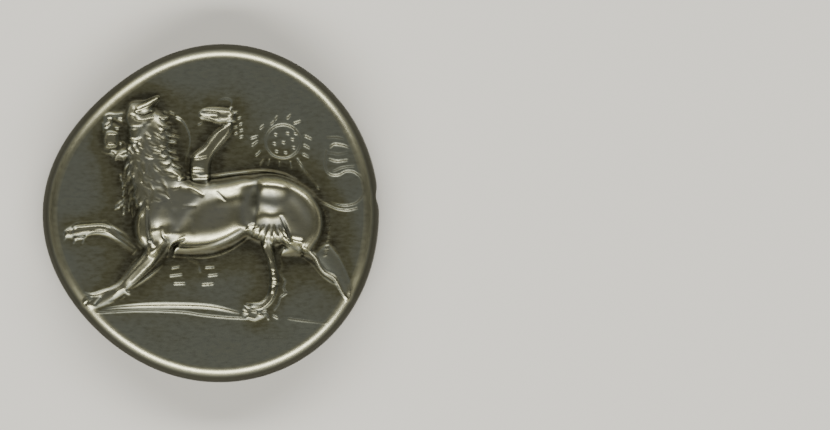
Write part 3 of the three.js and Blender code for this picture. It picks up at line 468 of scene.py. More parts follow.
# Brow boss, the hollow over the eye and the brow ridge
engrave(front, CHIMERA, [
    (groove, (-23.9, 33.2, 1.0, 0.2), (-22.3, 32.6, 1.2, 0.26), (-20.0, 33.4, 1.1, 0.24)),
    (draw_line, (-26.9, 32.8, 0.9, 0.08), (-25.5, 32.4, 0.9, 0.1)),
    (draw_line, (-25.3, 31.6, 0.55, 0.05), (-24.0, 31.0, 0.55, 0.05), (-21.5, 31.3, 0.55, 0.055),
     (-19.2, 31.9, 0.65, 0.07)),
    (groove, (-22.3, 29.8, 0.5, 0.03), (-20.0, 30.0, 0.5, 0.03)),
    # Cheek block over the lip, with a lit lower edge
    (groove, (-27.7, 28.7, 0.6, 0.05), (-25.3, 28.5, 0.7, 0.08), (-22.7, 28.7, 0.6, 0.05)),
    (draw_line, (-26.7, 24.5, 1.1, 0.12), (-25.0, 24.2, 1.1, 0.13), (-23.3, 24.8, 0.7, 0.078)),
    # Ear
    (raise_form, (-24.0, 34.7, 1.6, 0.6), (-21.0, 36.0, 1.5, 0.56), (-17.7, 38.3, 0.7, 0.3)),
    (draw_line, (-24.7, 35.7, 0.63, 0.02), (-21.3, 36.8, 0.7, 0.03), (-17.7, 38.7, 0.56, 0.025)),
    (draw_line, (-24.7, 34.3, 0.63, 0.03), (-22.0, 35.0, 0.7, 0.035), (-19.3, 36.5, 0.56, 0.025)),
    # Upper edge of the muzzle, and the lines beside the open mouth
    (draw_line, (-35.3, 32.3, 0.56, 0.047), (-33.7, 33.0, 0.63, 0.062), (-31.7, 32.8, 0.56, 0.039),
     (-29.3, 33.2, 0.63, 0.062)),
    (draw_line, (-34.7, 29.0, 1.1, 0.13), (-33.0, 30.7, 0.7, 0.078)),
    (draw_line, (-36.0, 30.0, 0.56, 0.047), (-35.7, 27.3, 0.56, 0.047)),
    (groove, (-32.0, 30.7, 1.2, 0.1), (-30.0, 29.0, 1.3, 0.14), (-29.3, 26.3, 1.1, 0.2),
     (-29.0, 23.7, 0.9, 0.16)),
])
# Teeth and tongue in the open mouth, as short bars
for u, v in [(-30.3, 31.3), (-31.0, 28.3), (-29.7, 23.3), (-30.7, 19.7), (-33.7, 31.3)]:
    draw_line(front, *CHIMERA, [(u - 0.4, v, 0.63, 0.078), (u + 0.4, v, 0.9, 0.1)])
# Lit edges of the muzzle's front block, and the lower lip
engrave(front, CHIMERA, [
    (draw_line, (-34.3, 26.3, 0.63, 0.062), (-31.3, 26.3, 0.63, 0.07)),
    (draw_line, (-34.3, 22.8, 1.1, 0.1), (-32.0, 22.8, 1.1, 0.11)),
    (draw_line, (-30.0, 23.3, 0.56, 0.062), (-29.7, 21.7, 0.56, 0.047), (-30.7, 19.7, 0.7, 0.086)),
    (draw_line, (-36.3, 20.7, 0.49, 0.031), (-34.3, 20.0, 0.49, 0.047), (-32.7, 20.7, 0.49, 0.031)),
])

# Mane
hair = np.zeros_like(front)
# Beard and whiskers under the jaw and cheek
for u, v, length, lean in [
    (-27.0, 23.3, 2.4, -110), (-25.7, 23.3, 2.6, -85), (-24.3, 23.7, 2.6, -60), (-28.7, 21.7, 2.2, -120),
    (-27.0, 21.3, 2.2, -70), (-25.3, 21.3, 2.2, -50), (-31.0, 19.7, 2.0, -120), (-29.3, 19.7, 2.0, -90),
    (-27.7, 20.0, 2.0, -80),
]:
    lock(hair, u, v, length, lean, 10, 0.8, 0.085)
# Locks that stand out from the neck on both sides and lie on the field
for u, v, length, lean in [
    (-16.7, 29.7, 3.6, -30), (-15.3, 27.3, 3.6, -40), (-15.0, 24.7, 3.4, -30), (-14.7, 22.0, 3.6, -40),
    (-14.0, 19.3, 3.6, -34), (-13.0, 16.7, 3.8, -40), (-12.3, 14.0, 3.8, -46), (-17.3, 32.3, 3.2, -20),
    (-27.3, 17.7, 3.6, -124), (-26.7, 15.3, 3.8, -120), (-28.3, 15.0, 3.2, -110), (-27.0, 12.7, 3.8, -126),
    (-28.7, 11.7, 3.4, -112), (-26.3, 10.0, 3.8, -118), (-28.0, 8.7, 3.4, -124), (-26.3, 7.0, 3.6, -112),
    (-28.3, 5.7, 3.2, -120), (-26.7, 4.3, 3.4, -110), (-28.3, 2.7, 3.0, -116), (-29.7, 13.3, 2.6, -100),
    (-29.3, 4.3, 2.8, -130), (-26.0, 2.0, 3.0, -100),
]:
    lock(hair, u, v, length, lean, 12, 0.85, 0.125)
# Locks that hang from the head to the shoulder
draw = np.random.default_rng(7)
for u, v, length, lean, curl in [
    (-19.3, 28.7, 2.8, -30, 20), (-17.7, 29.7, 3.0, -20, 26), (-16.7, 31.3, 2.4, 10, -30),
    (-21.0, 26.7, 3.0, -50, 24), (-19.3, 27.0, 3.2, -30, 24), (-17.3, 27.7, 3.2, -24, 26),
    (-15.7, 29.0, 2.6, -50, 30), (-22.7, 25.0, 3.0, -80, 18), (-21.0, 24.3, 3.2, -60, 22),
    (-19.0, 24.7, 3.4, -36, 24), (-17.0, 25.3, 3.2, -30, 24), (-15.3, 26.3, 2.6, -60, 26),
    (-23.3, 22.3, 3.2, -96, 14), (-21.7, 22.0, 3.2, -70, 20), (-19.7, 22.0, 3.4, -46, 22),
    (-17.7, 22.7, 3.4, -34, 24), (-15.7, 23.3, 3.0, -50, 22), (-25.3, 21.0, 3.0, -120, 10),
    (-23.7, 20.0, 3.2, -100, 16), (-21.7, 19.7, 3.4, -76, 18), (-19.7, 19.7, 3.4, -54, 22),
    (-17.7, 20.0, 3.6, -40, 22), (-15.7, 20.3, 3.4, -46, 20), (-26.3, 18.7, 3.0, -126, 8),
    (-24.7, 17.7, 3.2, -106, 12), (-22.7, 17.3, 3.4, -90, 14), (-20.7, 17.0, 3.4, -66, 18),
    (-18.7, 17.0, 3.6, -50, 20), (-16.7, 17.3, 3.6, -40, 20), (-14.7, 17.3, 3.6, -40, 18),
    (-25.7, 15.0, 3.2, -116, 8), (-23.7, 14.7, 3.4, -100, 10), (-21.7, 14.3, 3.6, -80, 14),
    (-19.7, 14.3, 3.6, -60, 18), (-17.7, 14.3, 3.6, -46, 18), (-15.7, 14.7, 3.8, -38, 18),
    (-13.3, 14.7, 3.6, -36, 16), (-24.7, 11.7, 3.4, -108, 8), (-22.7, 11.3, 3.6, -90, 10),
    (-20.7, 11.3, 3.6, -72, 14), (-18.7, 11.3, 3.6, -56, 16), (-16.7, 11.7, 3.8, -44, 16),
    (-14.3, 11.7, 3.8, -34, 14), (-12.0, 12.0, 3.4, -30, 14), (-23.7, 8.3, 3.4, -100, 8),
    (-21.7, 8.0, 3.4, -82, 10), (-19.7, 8.0, 3.6, -66, 12), (-17.7, 8.3, 3.6, -52, 14),
    (-15.7, 8.7, 3.6, -44, 14), (-13.3, 9.0, 3.2, -34, 12), (-23.0, 5.3, 3.0, -96, 8),
    (-21.0, 5.0, 3.0, -80, 10), (-19.0, 5.3, 3.0, -62, 10), (-27.3, 16.0, 3.0, -124, 10),
    (-28.7, 17.0, 2.4, -110, 12), (-28.7, 13.7, 2.8, -120, 10), (-26.7, 13.0, 3.0, -114, 10),
    (-25.7, 10.0, 3.2, -112, 8), (-27.7, 10.3, 2.8, -120, 10), (-29.0, 8.7, 2.4, -124, 10),
    (-25.3, 7.0, 3.0, -108, 8), (-27.3, 6.7, 2.8, -116, 10), (-25.3, 4.3, 2.6, -104, 8),
    (-29.7, 4.0, 2.4, -120, 10), (-27.3, 3.7, 2.2, -110, 10),
]:
    lock(hair, u + draw.uniform(-0.5, 0.5), v + draw.uniform(-0.5, 0.5), length * draw.uniform(0.75, 1.25),
         lean + draw.uniform(-26, 26), curl + draw.uniform(-20, 20), draw.uniform(0.8, 1.2),
         draw.uniform(0.03, 0.085))
front += hair
# Outer border of the mane, and the small curls in the hollow inside it
draw_line(front, *CHIMERA, [
    (-11.0, 31.7, 0.8, 0.05), (-9.0, 30.3, 0.7, 0.05), (-7.3, 27.0, 0.7, 0.055), (-6.8, 24.0, 0.7, 0.055),
    (-7.3, 21.0, 0.7, 0.055), (-8.2, 17.7, 0.7, 0.055), (-8.5, 14.3, 0.7, 0.06),
])
for u, v in [
    (-16.0, 31.7), (-12.7, 33.3), (-10.7, 31.7), (-12.0, 27.3), (-11.3, 25.7), (-13.3, 29.7), (-13.0, 22.3),
    (-12.0, 24.0), (-14.7, 33.3),
]:
    draw_line(front, *CHIMERA, [(u - 0.7, v + 0.3, 0.7, 0.07), (u + 0.7, v - 0.3, 0.6, 0.055)])
engrave(front, CHIMERA, [
    (draw_line, (-6.7, 19.0, 0.6, 0.04), (-7.7, 16.7, 0.6, 0.05), (-8.0, 13.7, 0.6, 0.05)),
    (draw_line, (-10.3, 11.3, 1.0, 0.14), (-8.7, 11.7, 0.9, 0.12)),
    (draw_line, (-7.7, 13.2, 0.8, 0.06), (-4.0, 12.3, 0.8, 0.06)),
])

BEAD_ACROSS, BEAD_UP = 0.35, 0.15


def beads(relief, corners, half_width, height, spacing):
    """A row of short bars, like the notches across a twisted lock or a horn."""
    path = smooth_path(np.column_stack([np.array(corners), np.ones((len(corners), 2))]), per_stretch=24)[:, :2]
    run = np.concatenate([[0], np.cumsum(np.hypot(*np.diff(path, axis=0).T))])
    for place in np.arange(0, run[-1], spacing):
        u, v = np.interp(place, run, path[:, 0]), np.interp(place, run, path[:, 1])
        draw_line(relief, *CHIMERA, [
            (u - BEAD_ACROSS, v - BEAD_UP, half_width, height),
            (u + BEAD_ACROSS, v + BEAD_UP, half_width, height),
        ])


# Goat's head
# Folds of a collar at the foot of the neck
engrave(front, CHIMERA, [
    (draw_line, (-6.3, 18.3, 0.63, 0.049), (-4.0, 18.3, 0.7, 0.071), (-1.3, 18.8, 0.56, 0.049)),
    (draw_line, (-6.7, 14.3, 0.7, 0.066), (-4.7, 14.5, 1.1, 0.105), (-2.3, 14.3, 0.63, 0.055)),
    (draw_line, (-6.7, 16.3, 0.56, 0.038), (-6.0, 16.0, 0.56, 0.038)),
    # Brow line, jaw, eye and cheek
    (draw_line, (-2.3, 34.3, 0.63, 0.055), (-0.7, 34.5, 0.63, 0.07), (1.7, 34.2, 0.56, 0.039),
     (4.0, 34.2, 0.63, 0.055), (6.3, 34.0, 1.1, 0.12)),
    (draw_line, (6.7, 36.0, 0.49, 0.039), (6.7, 34.3, 0.56, 0.062)),
    (groove, (-2.7, 33.3, 0.6, 0.08), (0.0, 33.2, 0.6, 0.1), (2.3, 33.0, 0.6, 0.08)),
    (draw_line, (-2.7, 32.3, 0.49, 0.039), (-0.7, 32.0, 0.56, 0.062), (1.7, 31.0, 0.56, 0.07)),
    (groove, (-2.0, 31.5, 0.5, 0.05), (0.7, 30.8, 0.5, 0.06)),
    (draw_line, (-4.0, 29.5, 0.63, 0.055), (-2.7, 30.2, 0.56, 0.047)),
    (groove, (2.7, 32.5, 0.5, 0.08), (3.0, 31.3, 0.5, 0.08)),
    (draw_line, (3.3, 29.7, 0.7, 0.07), (5.0, 29.3, 0.7, 0.078)),
    (draw_line, (4.7, 28.3, 0.56, 0.047), (1.3, 26.2, 0.56, 0.047), (-1.3, 23.3, 0.49, 0.031)),
])
# Ear lock and horn, notched across
beads(front, [(6.3, 32.0), (8.0, 30.7), (8.5, 28.0), (8.5, 24.7)], 0.6, 0.075, 2.1)
beads(front, [(7.0, 35.0), (9.3, 32.3), (10.2, 28.7), (10.3, 24.7)], 0.6, 0.075, 2.1)
# Faint line of a second horn
draw_line(front, *CHIMERA, [
    (2.7, 37.7, 0.56, 0.016), (5.0, 38.2, 0.56, 0.027), (6.8, 37.7, 0.56, 0.033), (7.2, 35.7, 0.49, 0.033),
])

# Tail
engrave(front, CHIMERA, [
    (draw_line, (34.7, 5.7, 0.63, 0.047), (36.7, 4.0, 0.56, 0.062), (40.0, 2.3, 0.49, 0.078),
     (42.7, 1.3, 0.49, 0.078), (46.0, 1.0, 0.49, 0.078), (49.0, 1.7, 0.42, 0.055)),
    (draw_line, (40.3, 3.5, 0.42, 0.039), (43.3, 2.7, 0.45, 0.062), (46.3, 2.7, 0.45, 0.062),
     (49.0, 3.7, 0.49, 0.047), (51.0, 6.3, 0.56, 0.023), (51.3, 9.0, 0.56, 0.023), (50.3, 11.7, 0.49, 0.047),
     (48.0, 13.7, 0.49, 0.07), (45.3, 14.0, 0.49, 0.07), (43.0, 12.8, 0.49, 0.078), (40.7, 12.7, 0.49, 0.078),
     (39.0, 13.7, 0.49, 0.047), (38.3, 15.7, 0.49, 0.039), (38.3, 18.3, 0.49, 0.039),
     (38.7, 21.0, 0.49, 0.039)),
    (draw_line, (41.0, 14.0, 0.42, 0.047), (44.3, 15.3, 0.45, 0.055), (48.0, 15.7, 0.42, 0.039)),
    # Coiled snake's head: bars across the coil
    (draw_line, (40.0, 22.0, 0.49, 0.055), (41.3, 23.0, 0.63, 0.07), (44.0, 22.7, 0.63, 0.07),
     (46.0, 22.0, 0.49, 0.047)),
    (draw_line, (39.7, 18.0, 0.56, 0.055), (42.3, 17.3, 0.63, 0.07), (45.7, 17.7, 0.56, 0.055)),
    (draw_line, (39.0, 25.3, 0.49, 0.023), (42.0, 25.3, 0.56, 0.039), (44.7, 24.7, 0.49, 0.023)),
    (draw_line, (39.3, 20.3, 0.56, 0.023), (42.7, 19.7, 0.63, 0.031), (45.7, 20.3, 0.56, 0.023)),
    # Beside its root: a stroke, and a row of dots behind the rump
    (draw_line, (29.7, 16.7, 0.49, 0.047), (31.3, 14.3, 0.49, 0.055), (33.3, 12.0, 0.49, 0.039),
     (35.0, 9.7, 0.49, 0.047), (36.0, 8.3, 0.63, 0.086)),
])
beads(front, [(38.0, 0.7), (39.3, -3.7), (39.3, -9.0), (38.3, -14.3)], 0.6, 0.045, 1.5)

# The small wreath over the back, the ground lines and two rows of shallow strokes under the belly.
# They are low lines and leaves that the graver cut last.

SMALL_WREATH_X, SMALL_WREATH_Y = 5.18, 5.12
SMALL_WREATH_RADIUS = 1.24
SMALL_WREATH_TALLNESS = 0.96
RING_HALF_WIDTH = 0.12
RING_LOW, RING_SWELL = 0.03, 0.045
MILLIMETRES = (1.0, 1.0)
GROUND = (CHIMERA[0], 0.1)
STROKES = (CHIMERA[0], 0.09)
WEAR_SOFTENING = 0.035

ring = []
for degrees in range(0, 361, 15):
    turn = math.radians(degrees)
    ring.append((
        SMALL_WREATH_X + SMALL_WREATH_RADIUS * math.cos(turn),
        SMALL_WREATH_Y + SMALL_WREATH_RADIUS * SMALL_WREATH_TALLNESS * math.sin(turn),
        RING_HALF_WIDTH, RING_LOW + RING_SWELL * abs(math.sin(turn)),
    ))
draw_line(front, *MILLIMETRES, ring)
# Leaves outside the ring, then berries inside it, in hundredths of the chimera's length
for u, v, end_u, end_v in [
    (13.7, 25.0, 15.7, 25.7), (14.0, 22.7, 15.7, 24.0), (15.3, 19.3, 16.7, 20.7), (16.7, 16.3, 17.7, 17.7),
    (16.7, 28.3, 17.7, 29.3), (21.7, 31.3, 22.3, 32.3), (25.7, 31.7, 26.7, 32.7), (20.3, 29.7, 21.3, 30.7),
    (28.0, 30.0, 30.0, 30.7), (31.7, 25.7, 33.7, 24.7), (31.3, 22.7, 33.0, 21.7), (31.0, 19.7, 32.7, 18.7),
    (19.7, 17.7, 19.3, 16.0), (23.0, 17.0, 23.0, 15.3), (26.7, 17.0, 27.0, 15.3), (29.0, 18.0, 30.7, 15.7),
]:
    draw_line(front, *CHIMERA, [(u, v, 0.6, 0.075), (end_u, end_v, 0.45, 0.065)])
for u, v in [(21.7, 26.3), (25.7, 26.7), (28.3, 26.7), (27.3, 24.7), (21.3, 23.3), (27.7, 22.0), (22.0, 20.7),
             (25.0, 20.3), (24.3, 23.7)]:
    draw_line(front, *CHIMERA, [(u - 0.3, v, 0.5, 0.07), (u + 0.3, v - 0.2, 0.7, 0.08)])
# Two ground lines, one of them broken, and the thicker ground under the paws
engrave(front, GROUND, [
    (draw_line, (-37.6, -33.3, 0.45, 0.48), (-24.0, -32.6, 0.52, 0.72), (-10.0, -33.0, 0.52, 0.72),
     (-3.0, -34.0, 0.52, 0.72), (5.0, -34.8, 0.52, 0.72), (12.0, -35.2, 0.52, 0.72)),
    (draw_line, (26.0, -35.2, 0.52, 0.4), (30.0, -35.8, 0.52, 0.48), (38.6, -36.8, 0.45, 0.24)),
    (draw_line, (-36.0, -32.2, 0.52, 0.16), (-31, -31.4, 0.75, 0.64), (-20.0, -30.8, 1.2, 1.3),
     (-8.0, -30.8, 1.2, 1.3), (1.0, -31.4, 1.1, 1.1), (9.4, -33.2, 0.68, 0.48)),
])
# Shallow strokes
for u, v, end_u, end_v, width in [
    (-12.8, -18.4, -10.4, -17.9, 0.48), (-13.4, -21.0, -9.6, -20.5, 0.48), (-12.0, -23.6, -8.6, -23.5, 0.55),
    (-1.6, -18.2, 1.2, -18.0, 0.48), (-0.6, -20.9, 2.2, -20.6, 0.48), (-2.6, -23.9, 0.8, -23.6, 0.55),
]:
    draw_line(front, *STROKES, [(u, v, width, 1.0), (end_u, end_v, width, 0.8)])
# Faint line left by an earlier strike
draw_line(front, *STROKES, [
    (-7.4, -15.4, 0.9, 0.3), (-4.4, -16.6, 0.9, 0.5), (-3.4, -19.4, 0.9, 0.4),
])
front = soften(front, WEAR_SOFTENING)

# The back die: a dove that flies left, with both wings spread, inside an olive wreath tied at the right.
# Its places are in hundredths of its length from the middle of the back's picture.

DOVE_LENGTH = 13.0
DOVE_RELIEF = 0.42
DOVE = (DOVE_LENGTH / 100, DOVE_RELIEF)

back = np.zeros_like(map_across)

KNOB_ACROSS, KNOB_UP = 0.3, 0.2
KNOB_WIDTH, KNOB_HEIGHT = 1.2, 0.38


def knobs(relief, unit, scale, places):
    """Short feather ends and other small soft knobs, each given by its place, half width and height."""
    for u, v, half_width, height in places:
        across, up = KNOB_ACROSS * half_width, KNOB_UP * half_width
        width, rise = half_width * KNOB_WIDTH, height * KNOB_HEIGHT
        draw_line(relief, unit, scale, [(u - across, v - up, width, rise), (u + across, v + up, width, rise)])


# The wreath lies under the dove, so it comes first: two stems of olive that meet at the left, with leaves
# on both sides and berries between. Its places are in millimetres.
WREATH_RADIUS = 8.45
WREATH_X, WREATH_Y = 0.68, -0.68
STEM_HALF_WIDTH = 0.2
STEM_START, STEM_END, STEM_STATIONS = 12, 172, 40
STEM = (1.0, 0.1)
LEAF = (1.0, 0.22)
TWIG = (1.0, 0.36)

for radius_change, height in [(0.0, 1.0), (0.3, 0.6), (-0.32, 0.5)]:
    for hand in (1, -1):
        turns = np.radians(np.linspace(STEM_START, STEM_END, STEM_STATIONS)) * hand
        radius = WREATH_RADIUS + radius_change
        draw_line(back, *STEM, [
            (WREATH_X + radius * math.cos(t), WREATH_Y + radius * math.sin(t), STEM_HALF_WIDTH, height)
            for t in turns
        ])
# Leaves, each by the places and half widths along its middle
for leaf in [
    [(-7.56, 6.26, 0.16), (-6.41, 6.88, 0.34), (-5.25, 7.2, 0.36), (-4.16, 7.27, 0.16)],
    [(-5.25, 8.36, 0.2), (-4.09, 8.54, 0.36), (-2.64, 8.54, 0.38), (-1.56, 8.29, 0.16)],
    [(-1.27, 9.16, 0.2), (-0.18, 9.05, 0.4), (1.05, 8.79, 0.4), (2.14, 8.22, 0.16)],
    [(2.79, 8.87, 0.16), (3.73, 8.43, 0.42), (4.74, 7.93, 0.42), (5.61, 7.35, 0.2)],
    [(-3.29, 4.96, 0.16), (-2.57, 5.61, 0.38), (-1.77, 6.19, 0.4), (-1.05, 6.48, 0.2)],
    [(-1.12, 5.75, 0.18), (-0.4, 6.37, 0.4), (0.69, 6.7, 0.42), (1.77, 6.8, 0.2)],
    [(1.99, 5.9, 0.18), (3.0, 5.9, 0.42), (4.16, 5.72, 0.42), (5.32, 5.32, 0.18)],
    [(4.45, 4.67, 0.18), (5.32, 4.27, 0.5), (6.33, 3.73, 0.5), (7.35, 3.0, 0.2)],
    [(-9.23, 3.29, 0.16), (-8.94, 4.23, 0.34), (-8.14, 5.03, 0.38), (-7.27, 5.47, 0.16)],
    [(-9.81, 1.05, 0.14), (-9.59, 1.92, 0.34), (-9.08, 2.79, 0.34), (-8.58, 3.44, 0.14)],
    [(-8.36, 3.37, 0.14), (-8.58, 2.42, 0.32), (-8.87, 1.48, 0.14)],
    [(-7.64, 3.44, 0.16), (-7.46, 2.42, 0.4), (-7.35, 1.19, 0.16)],
    [(-8.07, 2.86, 0.14), (-8.07, 1.77, 0.28), (-8.0, 0.83, 0.12)],
    [(-6.12, 5.18, 0.14), (-6.12, 3.94, 0.34), (-6.44, 2.79, 0.32), (-6.84, 1.7, 0.14)],
    [(-5.32, 5.03, 0.12), (-5.61, 4.16, 0.26), (-5.9, 3.22, 0.12)],
    [(-10.1, 0.47, 0.14), (-9.52, -0.47, 0.28), (-9.08, -1.56, 0.28), (-8.87, -2.5, 0.12)],
    [(-9.01, 1.12, 0.14), (-8.79, 0.25, 0.28), (-8.43, -0.76, 0.14)],
    [(-6.84, 0.69, 0.14), (-7.35, -0.33, 0.32), (-8.0, -1.48, 0.14)],
    [(-8.0, -1.19, 0.14), (-8.11, -2.21, 0.34), (-7.78, -3.37, 0.14)],
    [(-7.06, -1.19, 0.14), (-6.84, -2.28, 0.32), (-7.06, -3.51, 0.14)],
    [(-6.33, -2.57, 0.14), (-6.01, -3.73, 0.36), (-5.97, -5.25, 0.16)],
    [(-10.24, -1.48, 0.12), (-9.95, -2.79, 0.36), (-9.23, -4.16, 0.14)],
    [(-8.94, -2.71, 0.12), (-8.58, -3.66, 0.28), (-8.14, -4.67, 0.12)],
    [(-7.64, -3.0, 0.12), (-7.35, -4.38, 0.34), (-6.77, -5.9, 0.14)],
    [(-10.03, -4.38, 0.14), (-9.3, -5.54, 0.48), (-8.0, -6.77, 0.16)],
    [(-5.61, -4.74, 0.14), (-5.28, -5.9, 0.38), (-4.74, -7.13, 0.14)],
    [(-5.97, -5.54, 0.12), (-5.75, -6.41, 0.3), (-5.25, -7.42, 0.12)],
    [(-4.45, -5.97, 0.14), (-4.09, -7.13, 0.32), (-3.44, -8.29, 0.14)],
    [(-8.36, -7.56, 0.14), (-7.2, -7.89, 0.46), (-5.97, -8.29, 0.46), (-4.89, -8.83, 0.2)],
    [(-5.83, -9.45, 0.14), (-4.52, -9.63, 0.42), (-3.29, -9.77, 0.42), (-1.92, -9.74, 0.16)],
    [(-3.0, -10.82, 0.2), (-1.56, -10.75, 0.4), (-0.18, -10.57, 0.4), (0.98, -10.03, 0.16)],
    [(0.54, -11.22, 0.16), (1.77, -10.71, 0.42), (2.93, -10.17, 0.42), (3.87, -9.45, 0.16)],
    [(4.02, -10.31, 0.16), (5.18, -9.37, 0.46), (6.33, -8.58, 0.46), (7.06, -7.64, 0.16)],
    [(-2.06, -7.06, 0.16), (-1.77, -7.93, 0.32), (-1.27, -9.01, 0.14)],
    [(-4.09, -6.41, 0.14), (-3.29, -7.13, 0.44), (-2.21, -8.22, 0.16)],
    [(-1.27, -7.2, 0.14), (-0.69, -8.07, 0.4), (-0.04, -9.16, 0.14)],
    [(-0.11, -7.35, 0.14), (0.54, -8.36, 0.34), (1.19, -9.66, 0.16)],
    [(0.25, -7.49, 0.14), (1.56, -7.82, 0.44), (3.15, -8.07, 0.16)],
    [(3.15, -6.99, 0.16), (4.45, -6.44, 0.46), (5.83, -6.15, 0.44), (7.13, -6.04, 0.16)],
]:
    heights = [0.7] + [1.0] * (len(leaf) - 2) + [0.6]
    raise_form(back, *LEAF, [(*station, height) for station, height in zip(leaf, heights)], blend=0.05)
    groove(back, *LEAF, [(u, v, 0.1, 0.2) for u, v, half_width in leaf])
# Growing tips and berries
for u, v, half_width in [
    (-4.02, 6.12, 0.2), (-4.31, 5.47, 0.18), (-3.44, 5.47, 0.16), (-3.37, 5.1, 0.16), (-5.1, 8.36, 0.16),
    (-5.18, 8.22, 0.14), (-7.56, 6.26, 0.16), (-1.27, 9.16, 0.18), (2.14, 5.97, 0.16), (2.35, 8.79, 0.2),
    (2.57, 8.29, 0.22), (2.71, 7.78, 0.2), (2.28, 9.01, 0.14), (3.51, -5.97, 0.2), (3.51, -6.33, 0.2),
    (3.15, -6.99, 0.18), (2.71, -7.42, 0.2), (2.64, -7.64, 0.16), (3.58, -5.75, 0.14), (-5.32, -8.79, 0.18),
    (-2.79, -10.82, 0.22), (-1.99, -7.13, 0.16), (4.52, 4.67, 0.16), (7.49, 3.08, 0.16), (7.27, 3.22, 0.14),
    (4.09, -8.43, 0.16), (4.38, -8.87, 0.16), (4.09, -9.45, 0.18), (3.94, -9.88, 0.16), (4.31, -10.39, 0.14),
    (7.13, -6.04, 0.16), (5.75, -4.09, 0.1), (-8.79, 3.58, 0.12), (-8.51, 3.8, 0.14), (-8.29, 4.02, 0.14),
    (-8.07, 4.23, 0.14), (-7.85, 4.45, 0.12), (-7.64, 4.6, 0.14), (-7.49, 2.35, 0.18), (-1.34, -8.94, 0.14),
    (-1.56, -9.59, 0.14), (1.56, -9.08, 0.12), (5.54, 6.48, 0.14), (5.18, 8.22, 0.16), (5.32, 7.78, 0.14),
]:
    draw_line(back, *LEAF, [(u - 0.04, v, half_width * 1.2, 0.5), (u + 0.04, v, half_width * 1.2, 0.5)])
# Bare twigs, and the ribbon that ties the stems at the right
engrave(back, TWIG, [
    (draw_line, (5.47, 7.78, 0.14, 0.3), (6.12, 6.7, 0.17, 0.36), (6.91, 5.32, 0.17, 0.36),
     (7.85, 3.87, 0.12, 0.3)),
    (draw_line, (6.04, 7.2, 0.1, 0.24), (6.84, 5.97, 0.12, 0.28), (7.56, 4.74, 0.12, 0.28),
     (8.14, 3.44, 0.1, 0.24)),
    (draw_line, (8.14, 5.9, 0.1, 0.2), (8.36, 5.03, 0.14, 0.26), (8.29, 4.09, 0.1, 0.2)),
    (draw_line, (7.56, 6.48, 0.12, 0.2), (8.0, 5.39, 0.14, 0.24), (8.29, 4.31, 0.1, 0.2)),
    (draw_line, (7.85, 3.87, 0.1, 0.24), (8.14, 3.0, 0.14, 0.3), (8.58, 1.77, 0.16, 0.36)),
    (draw_line, (8.58, 1.92, 0.16, 0.36), (8.87, 1.05, 0.17, 0.36), (9.01, 0.11, 0.15, 0.34),
     (8.87, -0.9, 0.13, 0.3), (8.58, -1.7, 0.1, 0.24)),
    (draw_line, (8.0, 1.05, 0.12, 0.26), (7.93, 0.04, 0.15, 0.3), (8.14, -0.98, 0.15, 0.3),
     (8.65, -2.06, 0.1, 0.22)),
    (draw_line, (8.43, -0.9, 0.12, 0.26), (8.0, -1.99, 0.14, 0.34), (7.93, -2.86, 0.16, 0.38),
     (8.22, -3.66, 0.17, 0.4), (8.51, -4.31, 0.16, 0.38)),
    (draw_line, (8.94, -1.34, 0.1, 0.2), (8.87, -2.35, 0.12, 0.26), (8.94, -3.37, 0.12, 0.26),
     (8.72, -4.38, 0.1, 0.2)),
    (draw_line, (8.51, -4.31, 0.12, 0.26), (8.14, -4.96, 0.1, 0.2), (7.85, -5.54, 0.16, 0.34)),
    (draw_line, (8.72, -4.38, 0.1, 0.22), (9.01, -5.18, 0.12, 0.26), (9.23, -5.9, 0.1, 0.2)),
    (draw_line, (7.35, -7.27, 0.12, 0.2), (7.13, -8.14, 0.15, 0.34), (6.77, -8.87, 0.1, 0.2)),
    (draw_line, (7.06, -6.04, 0.1, 0.2), (7.27, -6.77, 0.14, 0.3), (7.35, -7.49, 0.1, 0.22)),
    (draw_line, (3.29, -8.58, 0.08, 0.16), (4.74, -7.56, 0.1, 0.2), (6.19, -6.77, 0.1, 0.2),
     (7.27, -6.12, 0.08, 0.2)),
    (draw_line, (1.27, -9.59, 0.08, 0.16), (2.71, -9.16, 0.1, 0.2), (3.87, -8.58, 0.08, 0.16)),
])

